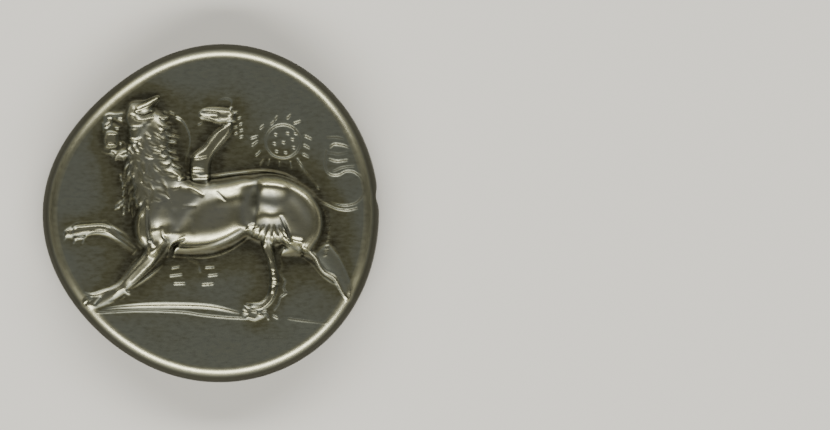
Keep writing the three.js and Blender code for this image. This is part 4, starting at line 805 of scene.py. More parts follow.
# Upper wing: a low web, its leading edge, then the short feathers and the long ones
raise_form(back, *DOVE, [
    (-26.0, 14.0, 6.0, 0.24), (-14.0, 14.0, 13.0, 0.34), (-2.0, 12.0, 13.0, 0.34), (10.0, 11.0, 11.0, 0.24),
    (24.0, 12.0, 8.0, 0.16),
], FULL)
raise_form(back, *DOVE, [
    (-30.9, 20.9, 1.6, 0.6), (-27.0, 24.8, 1.9, 0.64), (-20.3, 27.6, 2.2, 0.66), (-11.4, 28.7, 2.4, 0.66),
    (-1.4, 28.4, 2.6, 0.62), (12.0, 26.7, 2.8, 0.6), (25.3, 23.7, 2.8, 0.56), (39.8, 19.8, 2.4, 0.5),
    (52.1, 16.4, 1.6, 0.36), (56.5, 15.3, 0.6, 0.2),
], FULL)
engrave(back, DOVE, [
    (draw_line, (-30.9, 20.9, 1.56, 0.24), (-28.1, 15.9, 1.69, 0.27), (-24.8, 10.9, 1.69, 0.27),
     (-22.0, 5.3, 1.69, 0.27), (-21.4, 0.3, 1.56, 0.26), (-22.6, -3.6, 1.43, 0.24), (-19.2, -3.1, 1.43, 0.24),
     (-16.4, 0.3, 1.43, 0.21), (-17.0, 5.3, 1.56, 0.21), (-19.8, 12.0, 1.3, 0.18), (-23.1, 17.0, 1.04, 0.14)),
    (draw_line, (-34.8, 13.1, 1.17, 0.21), (-33.1, 9.2, 1.3, 0.26), (-30.9, 4.7, 1.3, 0.26),
     (-27.6, 1.4, 1.04, 0.21)),
    (draw_line, (-32.0, 16.4, 0.91, 0.13), (-30.3, 11.4, 1.04, 0.14), (-27.6, 6.4, 1.04, 0.14),
     (-24.2, 1.9, 0.78, 0.13)),
    (knobs, (-19.8, 18.7, 1.6, 0.8), (-17.5, 22.0, 1.3, 0.78), (-23.7, 20.3, 1.2, 0.6), (-9.7, 19.8, 2.0, 1.0),
     (-14.2, 22.6, 1.2, 0.7), (-9.7, 23.1, 1.3, 0.8), (-1.9, 19.2, 1.6, 0.72), (-0.8, 15.9, 1.4, 0.7),
     (8.1, 19.2, 1.5, 0.8), (9.2, 17.3, 1.3, 0.8), (-9.7, 12.0, 1.7, 0.96), (-9.2, 14.8, 1.2, 0.8),
     (-1.4, 9.7, 2.0, 0.86), (-1.9, 13.6, 1.2, 0.66), (-12.5, 8.6, 1.4, 0.76), (-15.9, 12.5, 1.4, 0.7),
     (-15.9, 6.4, 1.3, 0.6), (-5.3, 8.1, 1.2, 0.6), (-0.8, 5.3, 1.3, 0.7), (-12.0, 1.9, 1.5, 0.74),
     (-14.8, 4.2, 1.0, 0.56), (-4.2, -0.3, 1.4, 0.76), (-7.5, 2.5, 1.1, 0.56), (3.6, 3.6, 1.2, 0.7),
     (3.6, -0.3, 1.2, 0.74), (-8.1, -3.1, 1.5, 0.98), (-5.3, -3.6, 1.4, 0.98), (-0.8, -5.8, 1.3, 0.86),
     (1.9, -3.6, 1.6, 1.06), (3.6, 13.1, 1.2, 0.7), (4.2, 9.2, 1.1, 0.6), (-7.0, 26.4, 1.3, 0.6),
     (-1.9, 25.9, 1.5, 0.6), (-12.0, 25.9, 1.2, 0.56), (14.8, 23.1, 1.3, 0.64), (17.0, -0.8, 1.2, 0.84),
     (19.8, -1.9, 1.0, 0.8), (13.1, -7.0, 1.2, 0.9), (13.6, -10.0, 1.5, 1.0), (16.4, -8.6, 1.2, 0.86),
     (35.9, -3.6, 1.1, 0.6), (-5.8, 16.4, 1.1, 0.5), (-13.6, 16.4, 1.2, 0.6), (-18.7, 9.2, 1.0, 0.5),
     (-5.3, 12.5, 1.1, 0.5), (3.1, 18.1, 1.1, 0.5), (-15.9, 18.7, 1.0, 0.56)),
])
for stations in [
    [(7.5, 23.1, 2.2, 0.4), (25.3, 20.0, 2.4, 0.44), (39.8, 17.3, 2.2, 0.4), (53.2, 14.2, 1.2, 0.34)],
    [(7.5, 18.7, 1.5, 0.44), (23.1, 16.4, 1.7, 0.46), (39.8, 13.9, 1.6, 0.42), (54.3, 12.8, 0.9, 0.34)],
    [(7.5, 15.6, 1.2, 0.42), (22.0, 13.1, 1.4, 0.46), (39.8, 11.4, 1.5, 0.44), (54.8, 11.1, 1.0, 0.4)],
    [(6.4, 12.8, 1.2, 0.44), (20.9, 10.3, 1.3, 0.46), (34.2, 8.6, 1.4, 0.42), (49.8, 9.2, 1.0, 0.34)],
    [(5.3, 9.7, 1.2, 0.42), (18.7, 7.2, 1.4, 0.44), (30.9, 5.8, 1.4, 0.42), (38.7, 7.0, 1.1, 0.5)],
    [(5.3, 6.1, 1.2, 0.4), (17.5, 3.6, 1.4, 0.42), (25.3, 2.2, 1.4, 0.42), (27.0, -0.3, 1.0, 0.5)],
    [(6.4, 2.5, 1.0, 0.4), (14.2, 0.6, 1.2, 0.42), (19.8, -0.8, 1.0, 0.44)],
]:
    raise_form(back, *DOVE, stations, FULL, blend=0.03)
# Lower wing, which shows under the body
raise_form(back, *DOVE, [
    (-32.0, -33.0, 4.0, 0.24), (-20.0, -36.0, 7.0, 0.34), (-4.0, -36.5, 7.5, 0.34), (12.0, -37.0, 7.0, 0.3),
    (30.0, -38.0, 5.6, 0.2), (44.0, -38.5, 4.6, 0.16),
], FULL)
raise_form(back, *DOVE, [
    (-38.1, -31.5, 1.2, 0.6), (-34.8, -36.5, 1.4, 0.66), (-30.3, -39.8, 1.6, 0.66), (-22.6, -42.3, 2.0, 0.64),
    (-11.4, -44.0, 2.0, 0.6), (3.1, -44.5, 1.8, 0.56), (20.3, -44.5, 1.6, 0.5), (36.5, -44.2, 1.4, 0.46),
    (45.9, -43.7, 1.0, 0.4),
], FULL)
engrave(back, DOVE, [
    (draw_line, (-37.0, -28.7, 1.43, 0.26), (-35.4, -32.6, 1.69, 0.29), (-32.0, -36.7, 1.43, 0.27),
     (-29.2, -39.3, 1.04, 0.21)),
    (draw_line, (-36.5, -28.7, 1.04, 0.19), (-31.5, -27.8, 1.17, 0.21), (-25.3, -29.0, 1.04, 0.21)),
    (knobs, (-23.1, -29.2, 1.3, 0.66), (-23.7, -34.0, 1.9, 0.9), (-23.7, -37.0, 1.2, 0.6),
     (-29.2, -32.0, 1.3, 0.5), (-27.6, -35.4, 1.2, 0.5), (-15.9, -35.9, 1.2, 0.66), (-14.2, -37.9, 1.6, 0.86),
     (-18.1, -31.5, 1.4, 0.6), (-18.1, -39.3, 1.2, 0.56), (-12.5, -30.1, 1.2, 0.66), (-8.6, -30.3, 1.1, 0.7),
     (-7.0, -35.4, 1.3, 0.9), (-5.8, -37.6, 1.1, 0.9), (-4.2, -30.9, 1.4, 0.9), (-0.3, -30.1, 1.4, 0.86),
     (-5.3, -41.5, 1.9, 1.0), (-7.5, -42.6, 1.0, 0.7), (1.9, -41.5, 1.5, 0.76), (-0.8, -33.7, 1.3, 0.6),
     (4.2, -31.5, 1.3, 0.66), (3.1, -36.5, 1.2, 0.5), (8.6, -32.3, 1.4, 0.6), (12.0, -30.6, 1.1, 0.6),
     (16.4, -31.5, 1.9, 0.9), (12.0, -36.5, 1.3, 0.66), (7.5, -37.6, 1.2, 0.6), (15.3, -38.1, 1.2, 0.8),
     (14.8, -40.9, 1.6, 0.86), (-2.5, -38.7, 1.1, 0.5), (-11.4, -33.7, 1.2, 0.5), (-10.3, -39.3, 1.2, 0.5),
     (-20.9, -34.2, 1.2, 0.56), (8.6, -40.9, 1.0, 0.46)),
])
for stations in [
    [(17.5, -33.1, 1.2, 0.38), (30.9, -33.4, 1.5, 0.42), (41.5, -33.7, 1.2, 0.4), (45.4, -34.0, 0.9, 0.6)],
    [(17.5, -36.5, 1.2, 0.38), (30.9, -36.7, 1.5, 0.42), (41.5, -37.0, 1.2, 0.4), (45.4, -37.3, 0.9, 0.6)],
    [(17.5, -39.5, 1.2, 0.38), (30.9, -39.8, 1.5, 0.42), (41.5, -40.1, 1.2, 0.4), (45.4, -40.4, 0.9, 0.6)],
    [(17.5, -42.0, 1.2, 0.38), (30.9, -42.3, 1.5, 0.42), (41.5, -42.6, 1.2, 0.4), (45.4, -42.9, 0.9, 0.6)],
]:
    raise_form(back, *DOVE, stations, FULL, blend=0.03)
knobs(back, *DOVE, [(44.8, -35.9, 1.1, 0.7), (45.7, -38.7, 1.2, 0.8), (47.0, -42.6, 1.1, 0.76)])

# Body and tail
# The tail, which widens to its end
raise_form(back, *DOVE, [
    (25.3, -15.9, 3.2, 0.8), (34.2, -15.3, 5.6, 0.72), (43.2, -15.3, 8.6, 0.64), (50.4, -15.3, 11.4, 0.56),
    (53.2, -15.3, 12.4, 0.44),
], FULL)
# Gaps between the tail's feathers
for u, v, tip_u, tip_v in [
    (27.6, -13.1, 49.8, -4.7), (28.7, -14.2, 50.9, -9.2), (28.7, -15.9, 51.5, -14.8),
    (28.7, -17.5, 51.5, -20.3), (27.6, -18.7, 50.4, -25.3),
]:
    groove(back, *DOVE, [(u, v, 0.5, 0.1), (tip_u, tip_v, 0.6, 0.2)])
engrave(back, DOVE, [
    (raise_form, (-42.0, 10.9, 3.4, 0.8), (-39.8, 7.5, 3.2, 0.86), (-37.6, 3.1, 3.6, 0.92),
     (-34.8, -2.5, 4.8, 1.0), (-31.5, -8.6, 6.0, 1.08), (-26.4, -13.6, 7.0, 1.12), (-19.2, -17.0, 7.4, 1.12),
     (-10.3, -18.1, 7.0, 1.1), (0.8, -17.8, 6.4, 1.06), (12.0, -17.5, 5.4, 1.04), (20.3, -17.0, 4.0, 0.98),
     (26.4, -16.4, 3.0, 0.9)),
    (draw_line, (25.3, -15.6, 1.82, 0.4), (32.0, -15.9, 2.34, 0.38), (38.7, -15.9, 2.08, 0.34)),
    (draw_line, (32.0, -9.7, 0.91, 0.13), (39.8, -7.0, 1.04, 0.14), (46.5, -3.6, 0.91, 0.14),
     (49.8, -0.8, 0.65, 0.08)),
    (knobs, (19.8, -13.6, 1.3, 0.84), (20.3, -17.5, 1.4, 0.84), (22.0, -20.3, 1.2, 0.8),
     (23.1, -23.1, 1.2, 0.74), (18.1, -18.1, 1.2, 0.84), (23.7, -13.1, 1.1, 0.84), (23.1, -16.4, 1.2, 0.86),
     (26.4, -18.7, 1.0, 0.7), (24.8, -10.9, 1.0, 0.7)),
    # Head and beak, then the contour of the neck and breast
    (raise_form, (-43.7, 12.0, 3.0, 0.86), (-40.9, 9.7, 3.0, 0.9)),
    (raise_form, (-44.8, 10.9, 1.3, 0.66), (-47.0, 10.9, 1.0, 0.62), (-48.7, 10.6, 0.5, 0.3)),
    (knobs, (-44.6, 13.2, 1.3, 1.02), (-40.6, 10.6, 1.6, 1.06), (-43.2, 8.0, 1.1, 1.0)),
    (groove, (-43.4, 10.9, 0.5, 0.2), (-42.6, 9.6, 0.5, 0.24)),
    (draw_line, (-39.8, 5.8, 1.04, 0.26), (-37.6, -1.4, 1.17, 0.3), (-35.4, -10.3, 1.17, 0.3),
     (-32.6, -17.5, 1.17, 0.29), (-29.2, -23.1, 1.04, 0.26), (-26.4, -27.0, 0.78, 0.16)),
    # Legs drawn up under the body, and a claw
    (raise_form, (4.2, -22.6, 1.2, 0.66), (7.0, -26.4, 1.5, 0.86), (10.3, -29.0, 1.0, 0.7)),
    (raise_form, (8.1, -23.7, 1.6, 0.5), (12.0, -27.0, 1.8, 0.46)),
    (raise_form, (-1.9, -24.8, 1.3, 0.6), (-0.3, -25.3, 1.2, 0.6)),
    (knobs, (29.8, -28.1, 1.3, 0.5), (31.5, -29.8, 1.2, 0.5), (29.2, -30.9, 1.2, 0.5), (28.1, -29.5, 1.2, 0.5)),
    # Knobbed end of the fanned tail
    (knobs, (52.6, -1.9, 1.0, 0.4), (54.3, -5.3, 1.1, 0.5), (53.2, -8.9, 1.4, 0.66), (52.6, -13.1, 1.2, 0.6),
     (53.2, -15.3, 1.4, 0.66), (52.6, -19.2, 1.1, 0.5), (53.2, -23.1, 1.0, 0.44), (52.1, -27.0, 1.2, 0.5),
     (51.5, -29.8, 1.0, 0.44), (50.9, 0.3, 1.0, 0.4), (49.8, -2.5, 1.0, 0.4)),
])
# Shallow strokes beside the breast
for u, v, end_u, end_v in [
    (-50.4, -3.6, -48.7, -12.0), (-47.0, -3.6, -44.3, -6.4), (-45.9, -11.4, -42.6, -7.0),
    (-40.9, -3.6, -40.9, -12.0), (-48.7, -3.6, -45.9, -5.3),
]:
    draw_line(back, *DOVE, [(u, v, 1.5, 0.24), (end_u, end_v, 1.4, 0.2)])
back = soften(back, WEAR_SOFTENING)

# The coin. One struck piece of silver about 24 mm across, lying with its front face up. The blank was a
# cast lump, so the edge is uneven, and it split a little at the right when it was struck.

COIN_DIAMETER = 23.9
COIN_THICKNESS = 2.96
FRONT_CROWN = 0.12
FRONT_SHOULDER_WIDTH = 1.0
FRONT_SHOULDER_DROP = 0.86
BACK_ROUND_WIDTH = 0.55
BACK_ROUND_RISE = 0.8
RIM_LAND_WIDTH = 0.3
RIM_SLOPE_WIDTH = 0.8
BACK_DISH = 0.5
BACK_CROWN = 0.08
BACK_CLEARANCE = 0.06
EDGE_SPLIT_TURN = math.radians(6)
EDGE_SPLIT_WIDTH = math.radians(2.4)
EDGE_SPLIT_DEPTH_FRONT = 0.12
EDGE_SPLIT_DEPTH_BACK = 0.42
# Waves around the outline: how many, how high and at what turn in degrees
OUTLINE_WAVES = [(2, 0.066, 57), (3, 0.236, -57), (4, 0.08, -3), (5, 0.036, 29)]
DIE_TURN = math.radians(96)
BACK_SHIFT_X, BACK_SHIFT_Y = 0.24, 0.02


def outline_radius(turn, split_depth):
    radius = COIN_DIAMETER / 2
    for count, height, wave_turn in OUTLINE_WAVES:
        radius = radius + height * np.cos(count * (turn - math.radians(wave_turn)))
    offset = np.arctan2(np.sin(turn - EDGE_SPLIT_TURN), np.cos(turn - EDGE_SPLIT_TURN))
    return radius - split_depth * np.exp(-(offset / EDGE_SPLIT_WIDTH) ** 2)


# The frame's origin is the middle of the solid's outline box, so the same corners are measured here
SOLID_CORNERS = 48
FIRST_CORNER_TURN = 6
corner_turns = np.radians(np.arange(SOLID_CORNERS) * 360 / SOLID_CORNERS + FIRST_CORNER_TURN)
corner_radii = outline_radius(corner_turns, EDGE_SPLIT_DEPTH_FRONT)
corners = np.stack([corner_radii * np.cos(corner_turns), corner_radii * np.sin(corner_turns)])
coin_middle = -(corners.min(axis=1) + corners.max(axis=1)) / 2


def front_field(inward):
    """Height of the front's field at a distance in from the edge."""
    crown = FRONT_CROWN * (1 - (1 - np.clip(inward / (COIN_DIAMETER / 2), 0, 1)) ** 2)
    shoulder = np.clip(inward / FRONT_SHOULDER_WIDTH, 0, 1)
    drop = FRONT_SHOULDER_DROP * (1 - shoulder) ** 2
    return COIN_THICKNESS - FRONT_CROWN + crown - drop


def back_field(inward):
    """Height of the back's field: rounded edge, worn land, inner slope, dished field."""
    part = np.clip(inward / BACK_ROUND_WIDTH, 0, 1)
    rounded = BACK_ROUND_RISE * (1 - np.sqrt(1 - (1 - part) ** 2))
    inner = np.maximum(inward - BACK_ROUND_WIDTH, 0)
    slope = np.clip((inner - RIM_LAND_WIDTH) / RIM_SLOPE_WIDTH, 0, 1)
    dish = BACK_DISH * slope ** 2 * (3 - 2 * slope)
    return rounded + dish + BACK_CROWN * slope * np.minimum(inner / (COIN_DIAMETER / 2), 1)


def sample(values, across, up):
    """The map's value at any places, between its points."""
    last = len(map_axis) - 1.001
    column = np.clip((across + MAP_HALF_WIDTH) / MAP_STEP, 0, last)
    row = np.clip((up + MAP_HALF_WIDTH) / MAP_STEP, 0, last)
    left, low = column.astype(int), row.astype(int)
    part_across, part_up = column - left, row - low
    return (
        values[low, left] * (1 - part_across) * (1 - part_up)
        + values[low, left + 1] * part_across * (1 - part_up)
        + values[low + 1, left] * (1 - part_across) * part_up
        + values[low + 1, left + 1] * part_across * part_up
    )


def inward_distance(x, y):
    turn = np.arctan2(y - coin_middle[1], x - coin_middle[0])
    return outline_radius(turn, 0.0) - np.hypot(x - coin_middle[0], y - coin_middle[1])


# Total heights of both faces over the coin's plane. The back is seen in its own picture, turned over.
EDGE_FADE = 0.35
edge_fade = np.clip(inward_distance(map_across, map_up) / EDGE_FADE, 0, 1)
from_x, from_y = map_across - BACK_SHIFT_X, map_up - BACK_SHIFT_Y
front_rise = front * edge_fade
back_rise = sample(
    back,
    from_x * math.cos(DIE_TURN) + from_y * math.sin(DIE_TURN),
    from_x * math.sin(DIE_TURN) - from_y * math.cos(DIE_TURN),
) * edge_fade


def height_above_neighbours(rise, radius):
    """How far each place stands over those around it. It tells where tone gathers and wear polishes."""
    return rise - soften(rise, radius)


# Tone spreads from the relief's foot over 1.2 mm of field, and wear picks out the finest crests
TONE_NEAR, TONE_FAR, CREST = 0.4, 1.2, 0.15
FIELD_TOP, FIELD_FADE = 0.2, 1.3
SPREAD_STRENGTH, SPREAD_DEPTH = 0.12, 0.09
CREST_STRENGTH = 1.5
front_standing = height_above_neighbours(front_rise, TONE_NEAR)
on_field = np.clip(FIELD_FADE - front_rise / FIELD_TOP, 0, 1)
spread = np.minimum(height_above_neighbours(front_rise, TONE_FAR), 0)
front_standing += SPREAD_STRENGTH * on_field * np.tanh(spread / SPREAD_DEPTH)
front_standing += CREST_STRENGTH * np.maximum(height_above_neighbours(front_rise, CREST), 0)
back_standing = height_above_neighbours(back_rise, TONE_NEAR)


def front_height(x, y, inward):
    return front_field(inward) + sample(front_rise, x, y)


def back_height(x, y, inward):
    raised = back_field(inward) - sample(back_rise, x, y)
    return np.maximum(raised, np.minimum(back_field(inward), BACK_CLEARANCE))


# A square grid of points laid on the disc, so that no row closes up towards the middle
GRID_HALF = 200
EDGE_BAND = 0.3
EDGE_ROWS = 6
WALL_ROWS = 8
WALL_BULGE = 0.05
SPLIT_REACH = 12
MOST_TRIANGLES = 190000

grid_line = np.linspace(-1, 1, 2 * GRID_HALF + 1)
square_x, square_y = np.meshgrid(grid_line, grid_line)
wide = np.abs(square_x) > np.abs(square_y)
disc_radius = np.where(wide, square_x, square_y)
quarter = np.divide(
    np.where(wide, square_y, square_x), disc_radius, out=np.zeros_like(disc_radius), where=disc_radius != 0,
) * math.pi / 4
disc_turn = np.where(wide, quarter, math.pi / 2 - quarter)
disc_x = disc_radius * np.cos(disc_turn)
disc_y = disc_radius * np.sin(disc_turn)
grid_turn = np.arctan2(disc_y, disc_x)
grid_share = np.hypot(disc_x, disc_y)

grid_index = np.arange(grid_line.size ** 2).reshape(grid_line.size, grid_line.size)
border = np.concatenate([
    grid_index[0, :-1], grid_index[:-1, -1], grid_index[-1, :0:-1], grid_index[:0:-1, 0],
])
border_turn = grid_turn.ravel()[border]


def face_points(height_at, split_depth):
    """The grid of one face, out to the band where the rounded edge begins."""
    reach = outline_radius(grid_turn, split_depth * grid_share ** SPLIT_REACH) - EDGE_BAND
    x = coin_middle[0] + reach * grid_share * np.cos(grid_turn)
    y = coin_middle[1] + reach * grid_share * np.sin(grid_turn)
    z = height_at(x, y, inward_distance(x, y))
    return np.stack([x.ravel(), y.ravel(), z.ravel()], axis=1)


def edge_points(inward, height_at, split_depth):
    """One row of points around the edge."""
    radius = outline_radius(border_turn, split_depth) - inward
    x = coin_middle[0] + radius * np.cos(border_turn)
    y = coin_middle[1] + radius * np.sin(border_turn)
    return np.stack([x, y, height_at(x, y, np.full_like(x, inward))], axis=1)


front_points = face_points(front_height, EDGE_SPLIT_DEPTH_FRONT)
back_points = face_points(back_height, EDGE_SPLIT_DEPTH_BACK)
bands = [EDGE_BAND * (1 - step / EDGE_ROWS) ** 2 for step in range(1, EDGE_ROWS + 1)]
rows = [edge_points(inward, front_height, EDGE_SPLIT_DEPTH_FRONT) for inward in bands]
wall_top = rows[-1][:, 2]
for step in range(1, WALL_ROWS):
    share = step / WALL_ROWS
    level = wall_top + (BACK_ROUND_RISE - wall_top) * share
    split = EDGE_SPLIT_DEPTH_FRONT + (EDGE_SPLIT_DEPTH_BACK - EDGE_SPLIT_DEPTH_FRONT) * share
    rows.append(edge_points(-WALL_BULGE * math.sin(math.pi * share), lambda x, y, inward: level, split))
rows += [edge_points(inward, back_height, EDGE_SPLIT_DEPTH_BACK) for inward in bands[::-1]]

face_size = len(front_points)
ring_size = len(border)
points = np.vstack([front_points, back_points] + rows)
quads = np.stack([
    grid_index[:-1, :-1].ravel(), grid_index[:-1, 1:].ravel(),
    grid_index[1:, 1:].ravel(), grid_index[1:, :-1].ravel(),
], axis=1)
rings = [border] + [2 * face_size + ring_size * i + np.arange(ring_size) for i in range(len(rows))]
rings.append(face_size + border)
faces = [quads, face_size + quads[:, ::-1]]
for upper, lower in zip(rings[:-1], rings[1:]):
    faces.append(np.stack([upper, lower, np.roll(lower, -1), np.roll(upper, -1)], axis=1))
faces = np.vstack(faces)


def new_mesh(name, vertices, polygons):
    mesh = bpy.data.meshes.new(name)
    mesh.vertices.add(len(vertices))
    mesh.vertices.foreach_set("co", vertices.astype(np.float32).ravel())
    mesh.loops.add(polygons.size)
    mesh.loops.foreach_set("vertex_index", polygons.astype(np.int32).ravel())
    mesh.polygons.add(len(polygons))
    mesh.polygons.foreach_set("loop_start", np.arange(0, polygons.size, polygons.shape[1], dtype=np.int32))
    mesh.update(calc_edges=True)
    mesh.validate()
    return mesh


# Where the surface is plain the mesh needs few triangles, so most of them go to the relief
dense_mesh = new_mesh("dense_coin", points * MM, faces)
coin = bpy.data.objects.new("struck_coin", dense_mesh)
bpy.context.scene.collection.objects.link(coin)
thinning = coin.modifiers.new("thinning", "DECIMATE")
thinning.ratio = MOST_TRIANGLES / (2 * len(faces))
thinned = bpy.data.meshes.new_from_object(coin.evaluated_get(bpy.context.evaluated_depsgraph_get()))
coin.modifiers.clear()
coin.data = thinned
thinned.name = "struck_coin"
bpy.data.meshes.remove(dense_mesh)

# Normals of the maps themselves, which hold more detail than the thinned mesh
SLOPE_STEP = 0.004
LEAST_INWARD = 0.012
WALL_MARGIN = 0.02

places = np.zeros(len(thinned.vertices) * 3, dtype=np.float32)
thinned.vertices.foreach_get("co", places)
x, y, z = places.reshape(-1, 3).T.astype(float) / MM
inward = inward_distance(x, y)
on_front = z > COIN_THICKNESS - FRONT_CROWN - FRONT_SHOULDER_DROP + WALL_MARGIN
on_back = z < BACK_ROUND_RISE - WALL_MARGIN
turn = np.arctan2(y - coin_middle[1], x - coin_middle[0])
outward_x, outward_y = np.cos(turn), np.sin(turn)


def face_normals(field, rise, up):
    """Normals of a face whose outer side looks up, 1, or down, -1."""
    held = np.maximum(inward, LEAST_INWARD)
    fall = (field(held + SLOPE_STEP) - field(held - SLOPE_STEP)) / (2 * SLOPE_STEP)
    slope_y, slope_x = [sample(slope, x, y) for slope in np.gradient(rise, MAP_STEP)]
    return np.stack([
        up * fall * outward_x - slope_x, up * fall * outward_y - slope_y, np.full_like(x, up),
    ], axis=1)


wall_normals = np.stack([outward_x, outward_y, np.zeros_like(x)], axis=1)
normals = np.where(
    on_front[:, None], face_normals(front_field, front_rise, 1),
    np.where(on_back[:, None], face_normals(back_field, back_rise, -1), wall_normals),
)
normals /= np.linalg.norm(normals, axis=1, keepdims=True)
thinned.polygons.foreach_set("use_smooth", np.ones(len(thinned.polygons), dtype=bool))
thinned.normals_split_custom_set_from_vertices(normals.tolist())

# Measures that the silver's tone follows. The back's relief is lower, so its own are raised to match.
BACK_RELIEF_GAIN = 2.0
BACK_STANDING_GAIN = 1.6
for name, values in [
    ("relief", np.where(on_front, sample(front_rise, x, y),
                        np.where(on_back, sample(back_rise, x, y) * BACK_RELIEF_GAIN, 0))),
    ("standing", np.where(on_front, sample(front_standing, x, y),
                          np.where(on_back, sample(back_standing, x, y) * BACK_STANDING_GAIN, 0))),
    ("inward", np.where(on_front | on_back, inward, 0)),
]:
    attribute = thinned.attributes.new(name, "FLOAT", "POINT")
    attribute.data.foreach_set("value", values.astype(np.float32))

# Coin silver, an alloy with a little copper, struck and then worn and toned. High places are rubbed to a
# brighter, smoother silver, the field is a soft grey, and brown-olive tone lies beside the relief.

# The rubbed silver colour also paints a highlight line around the rim.
HOLLOW_TONE, HALF_TONE, FIELD_GREY, HIGH_GREY = "3a382b", "5c5b47", "7c7f75", "9b9a82"
# The edge colour is painted shade for the coin's outermost band.
DULL_GREY, WORN_GREY, RUBBED_SILVER_AND_RIM_HIGHLIGHT, PAINTED_EDGE_SHADE = "5b5d53", "8f9086", "c2c0a0", "36352b"
MATH, RANGE, MIX = "ShaderNodeMath", "ShaderNodeMapRange", "ShaderNodeMix"


def srgb(hex_colour):
    """An sRGB hex colour as linear red, green, blue and alpha."""
    channels = [int(hex_colour[i:i + 2], 16) / 255 for i in (0, 2, 4)]
    linear = [c / 12.92 if c <= 0.04045 else ((c + 0.055) / 1.055) ** 2.4 for c in channels]
    return (*linear, 1.0)


def add_node(tree, kind, sockets, out=0, **settings):
    """Adds a node with its settings, and sets each socket to a value or links it from another's output."""
    node = tree.nodes.new(kind)
    for name, value in settings.items():
        setattr(node, name, value)
    for name, source in sockets.items():
        if isinstance(source, bpy.types.NodeSocket):
            tree.links.new(source, node.inputs[name])
        else:
            node.inputs[name].default_value = source
    return node.outputs[out]


silver = bpy.data.materials.new("struck_worn_silver")
silver.use_nodes = True
tree = silver.node_tree
surface = tree.nodes["Principled BSDF"]
surface.inputs["Metallic"].default_value = 1.0

place = add_node(tree, "ShaderNodeTexCoord", {}, "Object")
relief, standing, from_edge = [
    add_node(tree, "ShaderNodeAttribute", {}, "Fac", attribute_name=name)
    for name in ("relief", "standing", "inward")
]

# Patterns, by size in millimetres, detail, roughness and stretch: blotches of tone, mottling of the worn
# surface, its grain, and scratches from handling in two crossing directions. Real scratches and grain are
# finer than a pixel, so both are drawn coarser, the scratches about 0.05 mm wide.
patterns = []
for size, detail, roughness, stretch in [
    (2.6, 3.0, 0.55, (1, 1, 1)), (0.22, 3.0, 0.6, (0.45, 1, 1)), (0.09, 2.0, 0.55, (1, 1, 1)),
    (0.16, 2.0, 0.6, (0.05, 1, 1)), (0.20, 2.0, 0.6, (1, 0.07, 1)),
]:
    stretched = add_node(tree, "ShaderNodeMapping", {"Vector": place, "Scale": stretch})
    patterns.append(add_node(tree, "ShaderNodeTexNoise", {
        "Vector": stretched, "Scale": 1 / (size * MM), "Detail": detail, "Roughness": roughness,
    }, "Fac"))
blotches, mottling, grain, scratches_across, scratches_along = patterns

# Tone follows how far a place stands over its surroundings, and is blotched and mottled a little
uneven = standing
for pattern, amount in [(blotches, 0.0175), (mottling, 0.01)]:
    change = add_node(tree, RANGE, {
        "Value": pattern, "From Min": 0.3, "From Max": 0.7, "To Min": -amount, "To Max": amount,
    })
    uneven = add_node(tree, MATH, {0: uneven, 1: change}, operation="ADD")

# What shows where: a source, the span of it that counts, and the strength at both ends of that span
shows = {}
for name, source, low, high, at_low, at_high in [
    ("tone", uneven, -0.16, 0.10, 0.0, 1.0),
    ("rubbed", relief, 0.25, 0.85, 0.0, 1.0),
    ("dull", mottling, 0.38, 0.68, 0.0, 0.4),
    # The rim's band, where a painted highlight line is laid
    ("rim_from", from_edge, 0.4, 0.6, 0.0, 1.0),
    ("rim_to", from_edge, 0.8, 1.1, 1.0, 0.0),
    # The edge band, darkened with painted shade
    ("edge", from_edge, 0.3, 0.6, 0.92, 0.0),
    ("roughness", uneven, -0.12, 0.08, 0.56, 0.37),
    ("uneven_roughness", mottling, 0.3, 0.7, -0.04, 0.04),
    ("scratches_across", scratches_across, 0.62, 0.72, 0.0, 1.0),
    ("scratches_along", scratches_along, 0.64, 0.74, 0.0, 1.0),
]:
    shows[name] = add_node(tree, RANGE, {
        "Value": source, "From Min": low, "From Max": high, "To Min": at_low, "To Max": at_high,
    })
rim_highlight_band = add_node(tree, MATH, {0: shows["rim_from"], 1: shows["rim_to"]}, operation="MULTIPLY")
painted_rim_highlight = add_node(tree, MATH, {0: rim_highlight_band, 1: 0.7}, operation="MULTIPLY")
scratches = add_node(
    tree, MATH, {0: shows["scratches_across"], 1: shows["scratches_along"]}, operation="MAXIMUM",
)

# Low places go from the hollows' tone over open field to the rubbed crests, high ones from dull to bright
tones = []
for stops in [
    [(0.0, HOLLOW_TONE), (0.38, HALF_TONE), (0.62, FIELD_GREY), (1.0, HIGH_GREY)],
    [(0.0, DULL_GREY), (0.5, WORN_GREY), (1.0, RUBBED_SILVER_AND_RIM_HIGHLIGHT)],
]:
    tones.append(add_node(tree, "ShaderNodeValToRGB", {"Fac": shows["tone"]}))
    elements = tones[-1].node.color_ramp.elements
    while len(elements) < len(stops):
        elements.new(0.5)
    for element, (position, colour) in zip(elements, stops):
        element.position = position
        element.color = srgb(colour)
low_tone, high_tone = tones

# The rim's line is painted bright as a painted highlight, and the edge outside it is painted dark as painted
# shade
tone = low_tone
for amount, colour in [
    (shows["rubbed"], high_tone), (shows["dull"], srgb(DULL_GREY)), (painted_rim_highlight, srgb(RUBBED_SILVER_AND_RIM_HIGHLIGHT)),
    (shows["edge"], srgb(PAINTED_EDGE_SHADE)),
]:
    tone = add_node(tree, MIX, {0: amount, 6: tone, 7: colour}, 2, data_type="RGBA", blend_type="MIX")

# Rubbed places are smoother, and mottling and scratches break up their shine
roughness = shows["roughness"]
for source, amount in [(shows["rubbed"], -0.06), (rim_highlight_band, -0.12), (shows["uneven_roughness"], 1.0)]:
    roughness = add_node(tree, MATH, {0: source, 1: amount, 2: roughness}, operation="MULTIPLY_ADD")
